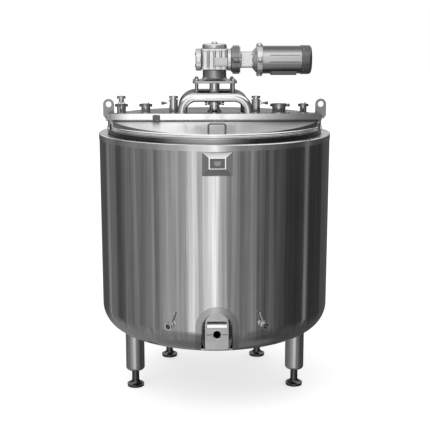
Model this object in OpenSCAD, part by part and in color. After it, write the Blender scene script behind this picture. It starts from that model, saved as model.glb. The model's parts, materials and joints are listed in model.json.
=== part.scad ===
// Insulated bulk milk tank with a top agitator drive, a half-moon front lid and four levelling feet.
// Units are millimetres. The origin is on the floor, on the tank's axis. +Z is up and -Y is the front.

/* [Tank body] */
// Outside diameter of the outer skin
shell_d = 1300; // [1200:10:1600]
// Height of the skin's underside above the floor
shell_z0 = 356; // [320:2:440]
// Height of the shoulder's top face above the floor
shell_z1 = 1476; // [1300:2:1800]
// Thickness of the outer skin
skin_t = 3; // [2:0.5:4]
// Radius of the rounded bottom edge
knuckle_r = 140; // [80:5:160]
// Height of the skirt that hangs from the shoulder
band_h = 33; // [20:1:60]

/* [Inner vessel] */
// Space between the skin and the vessel for the insulation
insulation_gap = 70; // [60:2:90]
// Wall of the inner vessel
vessel_t = 4; // [3:0.5:6]
// Height of the vessel floor above the tank's underside at the front
floor_rise = 96; // [90:1:130]
// Slope of the vessel floor towards the outlet, in degrees
floor_slope = 2.4; // [1:0.1:3]
// Height of the cooling jacket
jacket_h = 480; // [200:10:600]

/* [Legs and feet] */
// Outside diameter of a leg tube
leg_d = 108; // [90:1:120]
// Height of the leg's lower end above the floor
leg_z0 = 100; // [90:1:130]
// Distance of the legs from the tank's axis
leg_ring_r = 478; // [460:1:480]
// Angle of the front legs from the front
front_leg_angle = 75.8; // [60:0.1:80]
// Angle of the rear legs from the rear
rear_leg_angle = 35.7; // [30:0.1:50]
// Diameter of the levelling spindle
spindle_d = 42; // [30:1:48]
// Diameter of the foot plate
foot_d = 98; // [80:1:120]

/* [Lid and deck] */
// How far the neck flange reaches past the vessel wall
neck_reach = 25; // [20:1:30]
// Height of the lid's rolled rim
rim_d = 15; // [10:1:18]
// Height of the hinge rod's axis above the shoulder
hinge_rise = 72; // [60:1:80]
// Height of the rear deck above the shoulder
deck_rise = 91; // [80:1:110]
// Height of the cross beam's top above the shoulder
beam_rise = 117; // [105:1:130]
// Depth of the cross beam, front to back
beam_w = 76; // [70:1:100]
// Distance of the beam's front face from the axis
beam_front = 213; // [205:1:230]
// How far the beam's ends reach past the ends of the lid's hinge line
beam_over = 10; // [10:1:20]
// Width of the lid handle over its outside
handle_w = 96; // [80:1:140]
// Diameter of the lid handle's rod
handle_rod_d = 10; // [8:1:14]
// Height of the lid handle above the lid's rim
handle_h = 56; // [50:1:80]

/* [Drive bridge] */
// Outside diameter of the bridge tubes
bridge_tube_d = 51; // [42:1:60]
// Distance between the two upright runs of a bridge, centre to centre
bridge_span = 362; // [340:2:400]
// Bend radius of the bridge tube's centre line
bridge_bend_r = 77; // [60:1:90]
// Distance between the two bridges, centre to centre
bridge_gap = 350; // [340:2:360]
// Height of the bridges' centre line above the deck
bridge_rise = 113; // [100:1:130]
// Distance between the drive studs, on both sides of a square
stud_pitch = 202; // [190:2:210]

/* [Drive unit] */
// Height of the stud spacers
stud_h = 66; // [60:1:80]
// Diameter of the motor frame
motor_d = 152; // [130:1:156]
// Length of the motor frame
motor_len = 212; // [190:1:260]
// Length of the fan cover
fan_cover_len = 58; // [45:1:70]
// Radius of the worm wheel
wheel_r = 48; // [44:1:50]
// Radius of the worm
worm_r = 19; // [16:1:20]
// Diameter of the agitator shaft
shaft_d = 40; // [32:1:42]
// Diameter across the agitator blades
blade_span = 500; // [300:10:640]

/* [Outlet] */
// Height of the outlet's axis above the tank's underside
outlet_rise = 124; // [120:1:130]
// Outside diameter of the outlet pipe
outlet_d = 45; // [38:1:50]
// Width of the recess round the outlet
recess_w = 164; // [150:2:190]
// Depth of the recess
recess_depth = 64; // [60:1:66]
// Width of the flat surround of the recess
surround_w = 31; // [20:1:40]
// Width of the clamp block
block_w = 110; // [90:1:116]
// Height of the clamp block
block_h = 76; // [66:1:80]

/* [Hidden] */
$fn = 96;

// Clearances
fit = 0.05;      // running fit of a shaft, on the radius
seat = 0.3;      // rest gap between curved faces that are joined
weld_gap = 0.2;  // gap between a welded piece and the curved face that carries it

shell_r = shell_d / 2;
vessel_r = shell_r - insulation_gap;
neck_r = vessel_r + neck_reach;
flange_t = 6;
shoulder_t = 3;
shoulder_edge_r = 5;
neck_z0 = shell_z1;
neck_z1 = shell_z1 + 21;
flange_z1 = neck_z1 + flange_t;
gasket_t = 6;
rim_z0 = flange_z1 + gasket_t;
deck_z = shell_z1 + deck_rise;
beam_z = shell_z1 + beam_rise;
hinge_z = shell_z1 + hinge_rise;
hinge_rod_r = 5.5;
hinge_y = -beam_front - 11;
hinge_half = sqrt(pow(neck_r, 2) - pow(hinge_y, 2));
beam_len = 2 * (hinge_half + beam_over);
outlet_z = shell_z0 + outlet_rise;
floor_front_z = shell_z0 + floor_rise;
far = 3 * shell_d;

FEET = [
    [-leg_ring_r * sin(front_leg_angle), -leg_ring_r * cos(front_leg_angle)],
    [leg_ring_r * sin(front_leg_angle), -leg_ring_r * cos(front_leg_angle)],
    [-leg_ring_r * sin(rear_leg_angle), leg_ring_r * cos(rear_leg_angle)],
    [leg_ring_r * sin(rear_leg_angle), leg_ring_r * cos(rear_leg_angle)]
];

module tube(r_out, r_in, h) {
    difference() {
        cylinder(r = r_out, h = h);
        translate([0, 0, -1]) cylinder(r = r_in, h = h + 2);
    }
}

// A flat ring between two radii and two heights
module ring(r_out, r_in, z0, z1) {
    translate([0, 0, z0]) tube(r_out, r_in, z1 - z0);
}

// A rectangle with true round corners, centred
module round_rect(w, h, r) {
    square([w - 2 * r, h], center = true);
    square([w, h - 2 * r], center = true);
    for (x = [-1, 1], y = [-1, 1]) translate([x * (w / 2 - r), y * (h / 2 - r)]) circle(r);
}

// ---------------------------------------------------------------- body

// Half section of the body's outer form, grown outwards by grow
module body_section(grow) {
    difference() {
        translate([0, shell_z0 - grow]) square([shell_r + grow, shell_z1 - shell_z0 + grow]);
        translate([shell_r - knuckle_r, shell_z0 - grow - 1])
            difference() {
                square([knuckle_r + grow + 1, knuckle_r + grow + 1]);
                translate([0, knuckle_r + grow + 1]) circle(knuckle_r + grow);
            }
    }
}

module body_form(grow) {
    rotate_extrude() body_section(grow);
}

// Upright arch, open at the bottom, as a prism along Y
module arch(w, y0, y1) {
    top = shell_z0 + 246 - recess_w / 2;
    translate([0, y1, 0]) rotate([90, 0, 0]) linear_extrude(y1 - y0) {
        translate([-w / 2, 0]) square([w, top]);
        translate([0, top]) circle(w / 2);
    }
}

recess_back = -shell_r + recess_depth;

module leg_holes() {
    for (p = FEET) translate([p[0], p[1], 0]) cylinder(d = leg_d + 2 * seat, h = shell_z0 + knuckle_r);
}

cock_angle = 21.9;
cock_r = 16;
cock_z = shell_z0 + 169;

module at_cock(side) {
    rotate([0, 0, side * cock_angle]) translate([0, 0, cock_z]) rotate([90, 0, 0]) children();
}

module outer_shell() {
    color("silver") difference() {
        body_form(0);
        difference() {
            body_form(-skin_t);
            translate([0, 0, shell_z1 - shoulder_edge_r]) cylinder(r = shell_r, h = 2 * shoulder_edge_r);
        }
        translate([0, 0, shell_z1 - shoulder_edge_r]) cylinder(r = shell_r + 1, h = 2 * shoulder_edge_r);
        translate([0, 0, shell_z0 - 1]) cylinder(r = shell_r - knuckle_r, h = skin_t + 2);
        arch(recess_w + 2 * weld_gap, -shell_r - 1, recess_back);
        leg_holes();
        for (s = [-1, 1]) at_cock(s) cylinder(r = cock_r + weld_gap, h = shell_r + 1);
    }
}

module shoulder_ring() {
    lap_t = 2;
    edge_r = shoulder_edge_r;
    out_r = shell_r + lap_t;
    color("gainsboro") rotate_extrude() {
        translate([shell_r + weld_gap, shell_z1 - band_h]) square([lap_t - weld_gap, band_h - edge_r]);
        translate([vessel_r + 6, shell_z1 - shoulder_t])
            square([out_r - edge_r - vessel_r - 6, shoulder_t]);
        translate([out_r - edge_r, shell_z1 - edge_r]) intersection() {
            difference() {
                circle(edge_r);
                circle(edge_r - lap_t + weld_gap);
            }
            square(edge_r);
        }
    }
}

module neck_ring() {
    color("gray") rotate_extrude() {
        translate([vessel_r + weld_gap, neck_z0]) square([neck_reach - 13, neck_z1 - neck_z0]);
        translate([vessel_r + weld_gap, neck_z0 + 6]) square([neck_reach - 3, neck_z1 - neck_z0 - 6]);
    }
}

// Everything above the sloping floor, moved down by drop
module above_floor(drop) {
    translate([0, -vessel_r, floor_front_z - drop]) rotate([floor_slope, 0, 0])
        translate([-far / 2, -far / 2, 0]) cube([far, far, far]);
}

module inner_vessel() {
    color("whitesmoke") {
        difference() {
            intersection() {
                cylinder(r = vessel_r, h = flange_z1);
                above_floor(vessel_t);
            }
            intersection() {
                cylinder(r = vessel_r - vessel_t, h = flange_z1 + 1);
                above_floor(0);
            }
            translate([0, -vessel_r + vessel_t + 8, outlet_z]) rotate([90, 0, 0])
                cylinder(d = outlet_d + 2 * weld_gap, h = vessel_t + 20);
            for (s = [-1, 1]) at_cock(s) cylinder(r = cock_r + weld_gap, h = shell_r + 1);
        }
        ring(neck_r, vessel_r - vessel_t, neck_z1, flange_z1);
    }
}

jacket_z0 = cock_z + 82;
jacket_deep = 12;

module cooling_jacket() {
    wall = 2;
    color("lightsteelblue") difference() {
        ring(vessel_r + jacket_deep, vessel_r + weld_gap, jacket_z0, jacket_z0 + jacket_h);
        ring(vessel_r + jacket_deep - wall, vessel_r - 1, jacket_z0 + wall, jacket_z0 + jacket_h - wall);
    }
}

module insulation() {
    color("khaki") difference() {
        ring(shell_r - skin_t - seat, vessel_r + jacket_deep + 1, shell_z0 + knuckle_r,
            shell_z1 - shoulder_t - seat);
        arch(recess_w + 12, -shell_r - 1, -vessel_r);
        for (s = [-1, 1]) at_cock(s) cylinder(r = cock_r + 1, h = shell_r + 1);
    }
}

module base_plate() {
    color("silver") difference() {
        translate([0, 0, shell_z0]) cylinder(r = shell_r - knuckle_r, h = skin_t);
        leg_holes();
    }
}

leg_z1 = floor_front_z - 18;
ring_t = 10;

module support_ring() {
    skirt_r = leg_ring_r + 19;
    color("darkgray") {
        ring(leg_ring_r + leg_d / 2, leg_ring_r - leg_d / 2 - 10, leg_z1, leg_z1 + ring_t);
        difference() {
            ring(skirt_r + 6, skirt_r, leg_z1 + ring_t, floor_front_z + 100);
            above_floor(vessel_t + seat);
        }
    }
}

// ---------------------------------------------------------------- legs and feet

bush_head = 18;
leg_wall = 3;

module leg_tubes() {
    color("silver") for (p = FEET) translate([p[0], p[1], 0])
        ring(leg_d / 2, leg_d / 2 - leg_wall, leg_z0 + bush_head, leg_z1);
}

module leg_bushes() {
    spigot = 40;
    color("gray") for (p = FEET) translate([p[0], p[1], leg_z0]) difference() {
        union() {
            rotate_extrude() {
                square([leg_d / 2 - bush_head, bush_head]);
                translate([leg_d / 2 - bush_head, bush_head]) intersection() {
                    circle(bush_head);
                    translate([0, -bush_head]) square(bush_head);
                }
            }
            translate([0, 0, bush_head]) cylinder(r = leg_d / 2 - leg_wall - weld_gap, h = spigot);
        }
        translate([0, 0, -1]) cylinder(d = spindle_d + 2 * fit, h = bush_head + spigot + 2);
    }
}

rubber_h = 10;
plate_h = 24;

module spindle(i) {
    stem_z = rubber_h + plate_h;
    color("lightgray") translate([FEET[i][0], FEET[i][1], stem_z])
        cylinder(d = spindle_d, h = leg_z0 + 130 - stem_z);
}

module foot_plate(i) {
    lip = 5;
    neck = spindle_d / 2 + 3;
    sweep = plate_h - lip;
    color("silver") translate([FEET[i][0], FEET[i][1], rubber_h]) rotate_extrude() difference() {
        square([foot_d / 2, plate_h]);
        translate([neck, plate_h]) square([foot_d, 1]);
        translate([foot_d / 2, plate_h]) scale([(foot_d / 2 - neck) / sweep, 1]) circle(sweep);
    }
}

module foot_rubber(i) {
    color("black") translate([FEET[i][0], FEET[i][1], 0])
        cylinder(r = foot_d / 2 - 1.5, h = rubber_h);
}

// ---------------------------------------------------------------- outlet

module recess_arch_slice(w, y) {
    top = shell_z0 + 246 - recess_w / 2;
    translate([0, y, 0]) rotate([90, 0, 0]) linear_extrude(0.5) {
        translate([-w / 2, 0]) square([w, top]);
        translate([0, top]) circle(w / 2, $fn = 48);
    }
}

// The recess's pressed form: an arch that narrows towards its back wall
module recess_form(inset, back) {
    hull() {
        recess_arch_slice(recess_w - 2 * inset, -shell_r - 2);
        recess_arch_slice(recess_w - 36 - 2 * inset, back);
    }
}

module recess_liner() {
    liner_t = 2.5;
    color("dimgray") intersection() {
        difference() {
            recess_form(0, recess_back);
            recess_form(liner_t, recess_back - liner_t);
            translate([0, 0, outlet_z]) rotate([90, 0, 0]) cylinder(d = outlet_d + 2 * weld_gap, h = shell_r);
        }
        body_form(0);
    }
}

module recess_surround() {
    surround_t = 2.5;
    color("silver") intersection() {
        difference() {
            body_form(surround_t);
            body_form(weld_gap);
        }
        difference() {
            arch(recess_w + 2 * surround_w, -shell_r - 10, -shell_r / 2);
            arch(recess_w, -shell_r - 20, 0);
            translate([-shell_r, -shell_r - 20, 0]) cube([shell_d, shell_r, shell_z0 + 24]);
        }
    }
}

block_face = -shell_r + 13;
block_back = recess_back - 2.5;

module outlet_pipe() {
    inner_end = vessel_r - vessel_t - 1;
    outer_end = -block_face - 6;
    color("lightgray") translate([0, -inner_end, outlet_z]) rotate([90, 0, 0])
        tube(outlet_d / 2, outlet_d / 2 - 2, outer_end - inner_end);
}

module outlet_block(z0, z1) {
    difference() {
        translate([-block_w / 2, block_face, z0]) cube([block_w, block_back - block_face, z1 - z0]);
        translate([0, 0, outlet_z]) rotate([90, 0, 0]) cylinder(d = outlet_d + 2 * weld_gap, h = shell_r);
        for (s = [-1, 1]) translate([s * (block_w / 2 - 12), (block_face + block_back) / 2, 0])
            cylinder(r = 4, h = outlet_z + block_h);
    }
}

split_gap = 2;

module outlet_block_lower() {
    color("silver") outlet_block(outlet_z - block_h / 2 - 3, outlet_z - split_gap / 2);
}

module outlet_block_upper() {
    color("gainsboro") outlet_block(outlet_z + split_gap / 2, outlet_z + block_h / 2);
}

module sample_cocks() {
    color("lightgray") for (s = [-1, 1]) at_cock(s) {
        translate([0, 0, vessel_r - vessel_t]) tube(cock_r, cock_r - 3, shell_r - vessel_r + vessel_t + 36);
        translate([0, 0, shell_r + 30]) tube(cock_r + 3, cock_r - 0.5, 6);
        translate([0, 0, vessel_r + 10]) cylinder(r = cock_r - 2, h = 40);
    }
}

// Lever on a sleeve that turns round the cock; tilt leans it towards the outlet
module cock_lever(side) {
    sleeve_r = cock_r + 4;
    reach = 77;
    tilt = side * 22;
    color("silver") at_cock(side) translate([0, 0, shell_r + 8]) {
        tube(sleeve_r, cock_r + fit, 18);
        rotate([0, 0, tilt]) translate([0, sleeve_r - 2, 9]) rotate([-90, 0, 0]) {
            cylinder(r1 = 6, r2 = 4, h = reach - sleeve_r - 2);
            translate([0, 0, reach - sleeve_r - 2]) sphere(4);
        }
    }
}

// ---------------------------------------------------------------- nameplate

plate_z = shell_z1 - 89;
holder_out = 38;

module holder_slice(w, h, y, z) {
    translate([-w / 2, y, z - h / 2]) cube([w, 0.5, h]);
}

module nameplate_holder() {
    color("silver") difference() {
        hull() {
            holder_slice(150, 118, -shell_r + 10, plate_z - 8);
            holder_slice(150, 118, -shell_r, plate_z - 8);
            holder_slice(86, 57, -shell_r - holder_out, plate_z);
        }
        cylinder(r = shell_r + weld_gap, h = shell_z1, $fn = 360);
    }
}

module nameplate() {
    color("gray") {
        translate([-38, -shell_r - holder_out - 1.5, plate_z - 25]) cube([76, 1.5, 50]);
        for (x = [-33, 33], z = [-20, 20]) translate([x, -shell_r - holder_out - 1.5, plate_z + z])
            rotate([90, 0, 0]) cylinder(r = 2, h = 1.2);
    }
}

// ---------------------------------------------------------------- lid, beam and deck

module lid_gasket() {
    color("dimgray") difference() {
        ring(neck_r - 5, neck_r - 17, flange_z1, rim_z0 - 0.05);
        translate([-far / 2, -beam_front - 4, 0]) cube([far, far, far]);
    }
}

ear_x0 = hinge_half + 1.5;
ear_t = 8;
pin_r = 3;

module cross_beam() {
    wall = 4;
    lip = 5;
    web_z = flange_z1;
    half = beam_len / 2;
    color("lightgray") {
        difference() {
            union() {
                translate([-half, -beam_front, hinge_z + 8]) cube([beam_len, beam_w, beam_z - hinge_z - 8]);
                intersection() {
                    translate([-half, -beam_front, web_z]) cube([beam_len, beam_w, hinge_z + 8 - web_z]);
                    cylinder(r = neck_r - 2, h = far);
                }
            }
            translate([-half + 30, -beam_front + wall, web_z - 1])
                cube([beam_len - 60, beam_w - 2 * wall, beam_z - wall - web_z + 1]);
        }
        translate([-half, -beam_front - lip, hinge_z + 8]) cube([beam_len, lip, 2.5]);
        for (s = [-1, 1]) translate([s * (half - 1.5) - 1.5, -beam_front - lip, hinge_z + 8])
            cube([3, lip, beam_z - hinge_z - 8]);
        for (s = [-1, 1]) difference() {
            translate([s * (ear_x0 + ear_t / 2) - ear_t / 2, hinge_y - 8, hinge_z - 8])
                cube([ear_t, -beam_front - hinge_y + 8, 16]);
            translate([s * ear_x0, hinge_y, hinge_z]) rotate([0, 90, 0])
                cylinder(r = pin_r + weld_gap, h = 4 * ear_t, center = true);
        }
    }
}

module hinge_pins() {
    color("silver") for (s = [-1, 1])
        translate([s * (ear_x0 + ear_t / 2 - 14), hinge_y, hinge_z]) rotate([0, 90, 0])
            cylinder(r = pin_r, h = 36, center = true);
}

// Everything in front of the hinge line
module front_side(y) {
    translate([-far / 2, y - far, 0]) cube([far, far, far]);
}

lid_r = neck_r - rim_d / 2;
rim_z = rim_z0 + rim_d / 2;
lid_t = 3;
lid_fall = atan((hinge_z + hinge_rod_r - rim_z - rim_d / 2 + 2) / (lid_r + hinge_y));

// Everything under the lid's sloping top face, moved down by drop
module under_lid(drop) {
    translate([0, hinge_y, hinge_z + hinge_rod_r - drop]) rotate([lid_fall, 0, 0])
        translate([-far / 2, -far / 2, -far]) cube([far, far, far]);
}

module front_lid() {
    half = ear_x0 - 1.5;
    color("gainsboro") difference() {
        union() {
            difference() {
                intersection() {
                    cylinder(r = lid_r, h = far);
                    front_side(hinge_y);
                    under_lid(0);
                    translate([0, 0, rim_z]) cylinder(r = far, h = far);
                }
                intersection() {
                    cylinder(r = lid_r - lid_t, h = far);
                    front_side(hinge_y - 6);
                    under_lid(lid_t);
                }
            }
            intersection() {
                translate([0, 0, rim_z]) rotate_extrude() translate([lid_r, 0]) circle(rim_d / 2);
                front_side(hinge_y);
            }
            translate([-half, hinge_y, hinge_z]) rotate([0, 90, 0]) cylinder(r = hinge_rod_r, h = 2 * half);
        }
        for (s = [-1, 1]) translate([s * half, hinge_y, hinge_z]) rotate([0, 90, 0])
            cylinder(r = pin_r + fit, h = 60, center = true);
    }
}

handle_y = -lid_r + 11;

module lid_handle() {
    r = handle_rod_d / 2;
    bend = 12;
    x = handle_w / 2 - r;
    foot_z = rim_z + rim_d / 2 - 1;
    top_z = rim_z + rim_d / 2 + handle_h - r;
    color("silver") difference() {
        union() {
            for (s = [-1, 1]) {
                translate([s * x, handle_y, foot_z - 12]) cylinder(r = r, h = top_z - bend - foot_z + 12);
                translate([s * (x - bend), handle_y, top_z - bend]) rotate([90, 0, 0])
                    rotate([0, 0, s > 0 ? 0 : 90]) rotate_extrude(angle = 90) translate([bend, 0]) circle(r);
            }
            translate([-x + bend, handle_y, top_z]) rotate([0, 90, 0]) cylinder(r = r, h = 2 * (x - bend));
        }
        under_lid(-weld_gap);
    }
}

module deck_profile() {
    wall = 3;
    corner = 12;
    out_r = neck_r - 4;
    translate([out_r - wall, flange_z1]) square([wall, deck_z - corner - flange_z1]);
    translate([0, deck_z - wall]) square([out_r - corner, wall]);
    translate([out_r - corner, deck_z - corner]) intersection() {
        difference() {
            circle(corner);
            circle(corner - wall);
        }
        square(corner);
    }
    translate([out_r - wall, flange_z1]) square([wall + 4, 8]);
}

// Deck fittings: place, tube radius, flange radius, lateral place of each in plan
fitting_y = 38;
FERRULES = [
    [-528, fitting_y, 25.5, 32],
    [-390, fitting_y, 25.5, 32],
    [368, fitting_y, 38, 45.5],
    [507, fitting_y, 19, 25.2]
];
VALVES = [-231, 234];
valve_y = 0;
valve_r = 24;
ferrule_h = 54;
seal_r = 28;

module rear_deck() {
    color("silver") difference() {
        rotate_extrude() deck_profile();
        translate([-far / 2, -beam_front + beam_w + weld_gap - far, 0]) cube([far, far, far]);
        for (f = FERRULES) translate([f[0], f[1], flange_z1]) cylinder(r = f[2] + weld_gap, h = far);
        for (x = VALVES) translate([x, valve_y, flange_z1]) cylinder(r = valve_r - 3, h = far);
        translate([0, 0, flange_z1]) cylinder(r = shaft_d / 2 + 8, h = far);
    }
}

lug_x = neck_r - 17;
lug_y = -100;
lug_t = 12;
lug_eye_r = 16;
lug_eye_z = deck_z + 70;

module lifting_lugs() {
    head_r = 30;
    eye_h = lug_eye_z - deck_z;
    below = 10;
    color("silver") for (s = [-1, 1]) difference() {
        translate([s * lug_x, lug_y + lug_t / 2, deck_z]) rotate([90, 0, 0]) linear_extrude(lug_t) {
            translate([0, eye_h]) circle(head_r);
            polygon([
                [-s * head_r, eye_h], [-s * head_r, -below], [s * (head_r - 13), -below],
                [s * head_r, 8], [s * head_r, eye_h]
            ]);
        }
        translate([s * lug_x, lug_y + lug_t, lug_eye_z]) rotate([90, 0, 0])
            cylinder(r = lug_eye_r, h = 2 * lug_t);
        cylinder(r = neck_r - 4 + weld_gap, h = deck_z - 12);
        translate([0, 0, deck_z - 12.5]) cylinder(r = neck_r - 4 + weld_gap, h = 12.7);
    }
}

// ---------------------------------------------------------------- drive bridge

bridge_z = deck_z + bridge_rise;

// Bent tube that stands on foot_z at depth y
module bridge(y, foot_z, grow = 0) {
    r = bridge_tube_d / 2 + grow;
    x = bridge_span / 2;
    for (s = [-1, 1]) {
        translate([s * x, y, foot_z]) cylinder(r = r, h = bridge_z - bridge_bend_r - foot_z);
        translate([s * (x - bridge_bend_r), y, bridge_z - bridge_bend_r]) rotate([90, 0, 0])
            rotate([0, 0, s > 0 ? 0 : 90]) rotate_extrude(angle = 90) translate([bridge_bend_r, 0]) circle(r);
    }
    translate([-x + bridge_bend_r, y, bridge_z]) rotate([0, 90, 0])
        cylinder(r = r, h = 2 * (x - bridge_bend_r));
}

module bridge_front() {
    color("lightgray") bridge(-bridge_gap / 2, beam_z);
}

module bridge_rear() {
    color("silver") bridge(bridge_gap / 2, deck_z);
}

plate_t = 10;

module bridge_plate() {
    w = stud_pitch + 40;
    color("gray") difference() {
        translate([-w / 2, -bridge_gap / 2, bridge_z - plate_t / 2]) cube([w, bridge_gap, plate_t]);
        for (s = [-1, 1]) translate([-w, s * bridge_gap / 2, bridge_z]) rotate([0, 90, 0])
            cylinder(d = bridge_tube_d + 2 * weld_gap, h = 2 * w);
        translate([0, 0, bridge_z - plate_t]) cylinder(r = 45, h = 2 * plate_t);
    }
}

stud_z = bridge_z + plate_t / 2;
lantern_z = stud_z + stud_h;
lantern_flange_t = 14;
stud_core_r = 6;

module at_studs() {
    for (x = [-1, 1], y = [-1, 1]) translate([x * stud_pitch / 2, y * stud_pitch / 2, 0]) children();
}

module drive_studs() {
    color("silver") at_studs() {
        translate([0, 0, stud_z]) cylinder(r = 10, h = stud_h);
        translate([0, 0, lantern_z]) cylinder(r = stud_core_r, h = lantern_flange_t + 16);
    }
}

module stud_nuts() {
    color("lightgray") at_studs() translate([0, 0, lantern_z + lantern_flange_t]) difference() {
        union() {
            cylinder(r = 11.5, h = 11, $fn = 6);
            cylinder(r = 13, h = 2);
        }
        translate([0, 0, -1]) cylinder(r = stud_core_r + weld_gap, h = 14);
    }
}

// ---------------------------------------------------------------- deck fittings

clamp_z = deck_z + ferrule_h;

module ferrule(r, flange_r) {
    difference() {
        union() {
            cylinder(r = r, h = ferrule_h);
            translate([0, 0, ferrule_h - 3]) cylinder(r = flange_r, h = 3);
            translate([0, 0, ferrule_h - 7]) cylinder(r1 = r, r2 = flange_r, h = 4);
        }
        translate([0, 0, -10]) cylinder(r = r - 2, h = ferrule_h + 20);
    }
}

module deck_ferrules() {
    color("lightgray") {
        for (f = FERRULES) translate([f[0], f[1], deck_z]) ferrule(f[2], f[3]);
        translate([FERRULES[0][0], FERRULES[0][1], clamp_z + 10]) {
            difference() {
                union() {
                    cylinder(r1 = 22, r2 = 15, h = 8);
                    cylinder(r = 15, h = 30);
                    translate([0, 0, 28]) cylinder(r = 24.5, h = 14);
                }
                translate([0, 0, -1]) cylinder(r = 12, h = 37);
            }
        }
    }
}

// Two-part clamp band with a wing nut, round a pair of flanges
module clamp(r, angle) {
    band_t = 5;
    height = 13;
    difference() {
        translate([0, 0, -height / 2]) tube(r + band_t, r - 1.4, height);
        translate([0, 0, -4]) cylinder(r = r + seat, h = 8);
        rotate([0, 0, angle]) translate([r / 2, -1, -height]) cube([r, 2, 2 * height]);
        rotate([0, 0, angle + 180]) translate([r / 2, -1, -height]) cube([r, 2, 2 * height]);
    }
    rotate([0, 0, angle]) translate([r + band_t - 1, 0, 0]) {
        for (s = [-1, 1]) translate([0, s * 5.5 - 3.5, -height / 2]) cube([13, 7, height]);
        translate([7, 14.6, 0]) rotate([90, 0, 0]) cylinder(r = 3, h = 30);
        translate([7, -14, 0]) {
            rotate([90, 0, 0]) cylinder(r = 6, h = 10, center = true);
            for (s = [-1, 1]) rotate([0, s * 35, 0]) translate([-2, -3, 0]) cube([4, 6, 15]);
        }
    }
}

module cap(r) {
    translate([0, 0, 0.3]) cylinder(r = r, h = 3);
    translate([0, 0, 3]) cylinder(r = r - 8, h = 6);
}

module clamps_and_caps() {
    CLAMP_ANGLES = [90, 90, -25, 90];
    color("silver") {
        for (i = [0:3]) translate([FERRULES[i][0], FERRULES[i][1], clamp_z]) {
            clamp(FERRULES[i][3], CLAMP_ANGLES[i]);
            if (i > 0) cap(FERRULES[i][3]);
        }
        translate([FERRULES[0][0], FERRULES[0][1], clamp_z + 0.3]) {
            cylinder(r = FERRULES[0][3], h = 3);
            cylinder(r = 22, h = 9.7);
        }
    }
}

lever_z = deck_z + 69;
lever_pin_r = 2.5;

module relief_valves() {
    ear_gap = 13;
    color("lightgray") for (x = VALVES) translate([x, valve_y, deck_z]) {
        side = sign(x);
        difference() {
            union() {
                cylinder(r = valve_r, h = 84);
                translate([0, 0, 84]) cylinder(r = valve_r + 4, h = 4);
                cylinder(r = valve_r + 5, h = 6);
                translate([0, 0, 96]) cylinder(r = valve_r + 1, h = 12);
                translate([0, 0, 88]) cylinder(r = valve_r - 7, h = 8);
                translate([side * (valve_r + 4) - 9, -ear_gap / 2 - 4, lever_z - deck_z - 9])
                    cube([18, ear_gap + 8, 18]);
            }
            translate([side * (valve_r + 8) - 9, -ear_gap / 2, lever_z - deck_z - 20]) cube([18, ear_gap, 40]);
            translate([side * (valve_r + 7), 20, lever_z - deck_z]) rotate([90, 0, 0])
                cylinder(r = lever_pin_r + fit, h = 40);
            translate([0, 0, -1]) cylinder(r = valve_r - 8, h = 60);
        }
    }
}

// Lift lever of a relief valve with its own pin
module relief_lever(i) {
    side = sign(VALVES[i]);
    color("silver") translate([VALVES[i] + side * (valve_r + 7), valve_y, lever_z]) {
        rotate([90, 0, 0]) cylinder(r = 6, h = 12, center = true);
        rotate([90, 0, 0]) cylinder(r = lever_pin_r, h = 23, center = true);
        rotate([0, side * 90, 0]) {
            cylinder(r = 5, h = 22);
            translate([0, 0, 20]) cylinder(r1 = 5, r2 = 9, h = 4);
            translate([0, 0, 24]) cylinder(r = 9, h = 14);
        }
    }
}

module spray_ball() {
    x = FERRULES[0][0];
    y = FERRULES[0][1];
    ball_r = 32;
    drop = 150;
    pipe_r = FERRULES[0][2] - 2 - seat;
    color("lightgray") translate([x, y, deck_z - drop]) difference() {
        union() {
            translate([0, 0, 20]) cylinder(r = 14, h = drop + ferrule_h - 21);
            translate([0, 0, drop + ferrule_h - 14]) cylinder(r = pipe_r, h = 12);
            sphere(ball_r);
        }
        sphere(ball_r - 2);
        translate([0, 0, 22]) cylinder(r = 12, h = drop + ferrule_h);
        for (a = [0:45:315]) rotate([0, 0, a]) rotate([0, 70, 0]) cylinder(r = 1.5, h = 2 * ball_r);
    }
}

module seal_housing() {
    wing_z = deck_z + 66;
    color("lightgray") difference() {
        union() {
            translate([0, 0, deck_z]) cylinder(r = 53, h = 12);
            translate([0, 0, deck_z + 12]) cylinder(r1 = 53, r2 = seal_r, h = 24);
            translate([0, 0, deck_z]) cylinder(r = seal_r, h = 96);
            translate([0, 0, wing_z - 7]) cylinder(r = seal_r + 8, h = 14);
            for (s = [-1, 1]) {
                translate([s * (seal_r + 14), 0, wing_z]) rotate([0, 90, 0])
                    cylinder(r = 6, h = 26, center = true);
                translate([s * (seal_r + 20), 0, wing_z]) rotate([0, 90, 0])
                    cylinder(r = 10, h = 12, center = true);
            }
        }
        translate([0, 0, deck_z - 1]) cylinder(d = shaft_d + 2 * fit, h = 200);
    }
}

// ---------------------------------------------------------------- gear unit and motor

gear_z0 = lantern_z + 73;
gear_h = 115;
gear_z1 = gear_z0 + gear_h;
motor_y = -(wheel_r + worm_r + 1);
motor_z = gear_z0 + 55;
gear_x0 = -76;
gear_x1 = 70;
input_cover_t = 20;
gear_y0 = motor_y - 44;
gear_y1 = 74;
bearing_r = 31;
out_bearing_r = 38;
motor_shaft_r = 12;

module lantern() {
    foot = stud_pitch + 44;
    neck = 66;
    flare = 26;
    color("darkgray") difference() {
        union() {
            translate([0, 0, lantern_z]) linear_extrude(lantern_flange_t) round_rect(foot, foot, 22);
            translate([0, 0, lantern_z + lantern_flange_t]) rotate_extrude() {
                square([neck, gear_z0 - lantern_z - lantern_flange_t]);
                difference() {
                    square([neck + flare, flare]);
                    translate([neck + flare, flare]) circle(flare);
                }
            }
        }
        translate([0, 0, lantern_z - 1]) cylinder(r = 48, h = gear_z0 - lantern_z + 2);
        at_studs() translate([0, 0, lantern_z - 1]) cylinder(r = stud_core_r + weld_gap, h = 30);
    }
}

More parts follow.
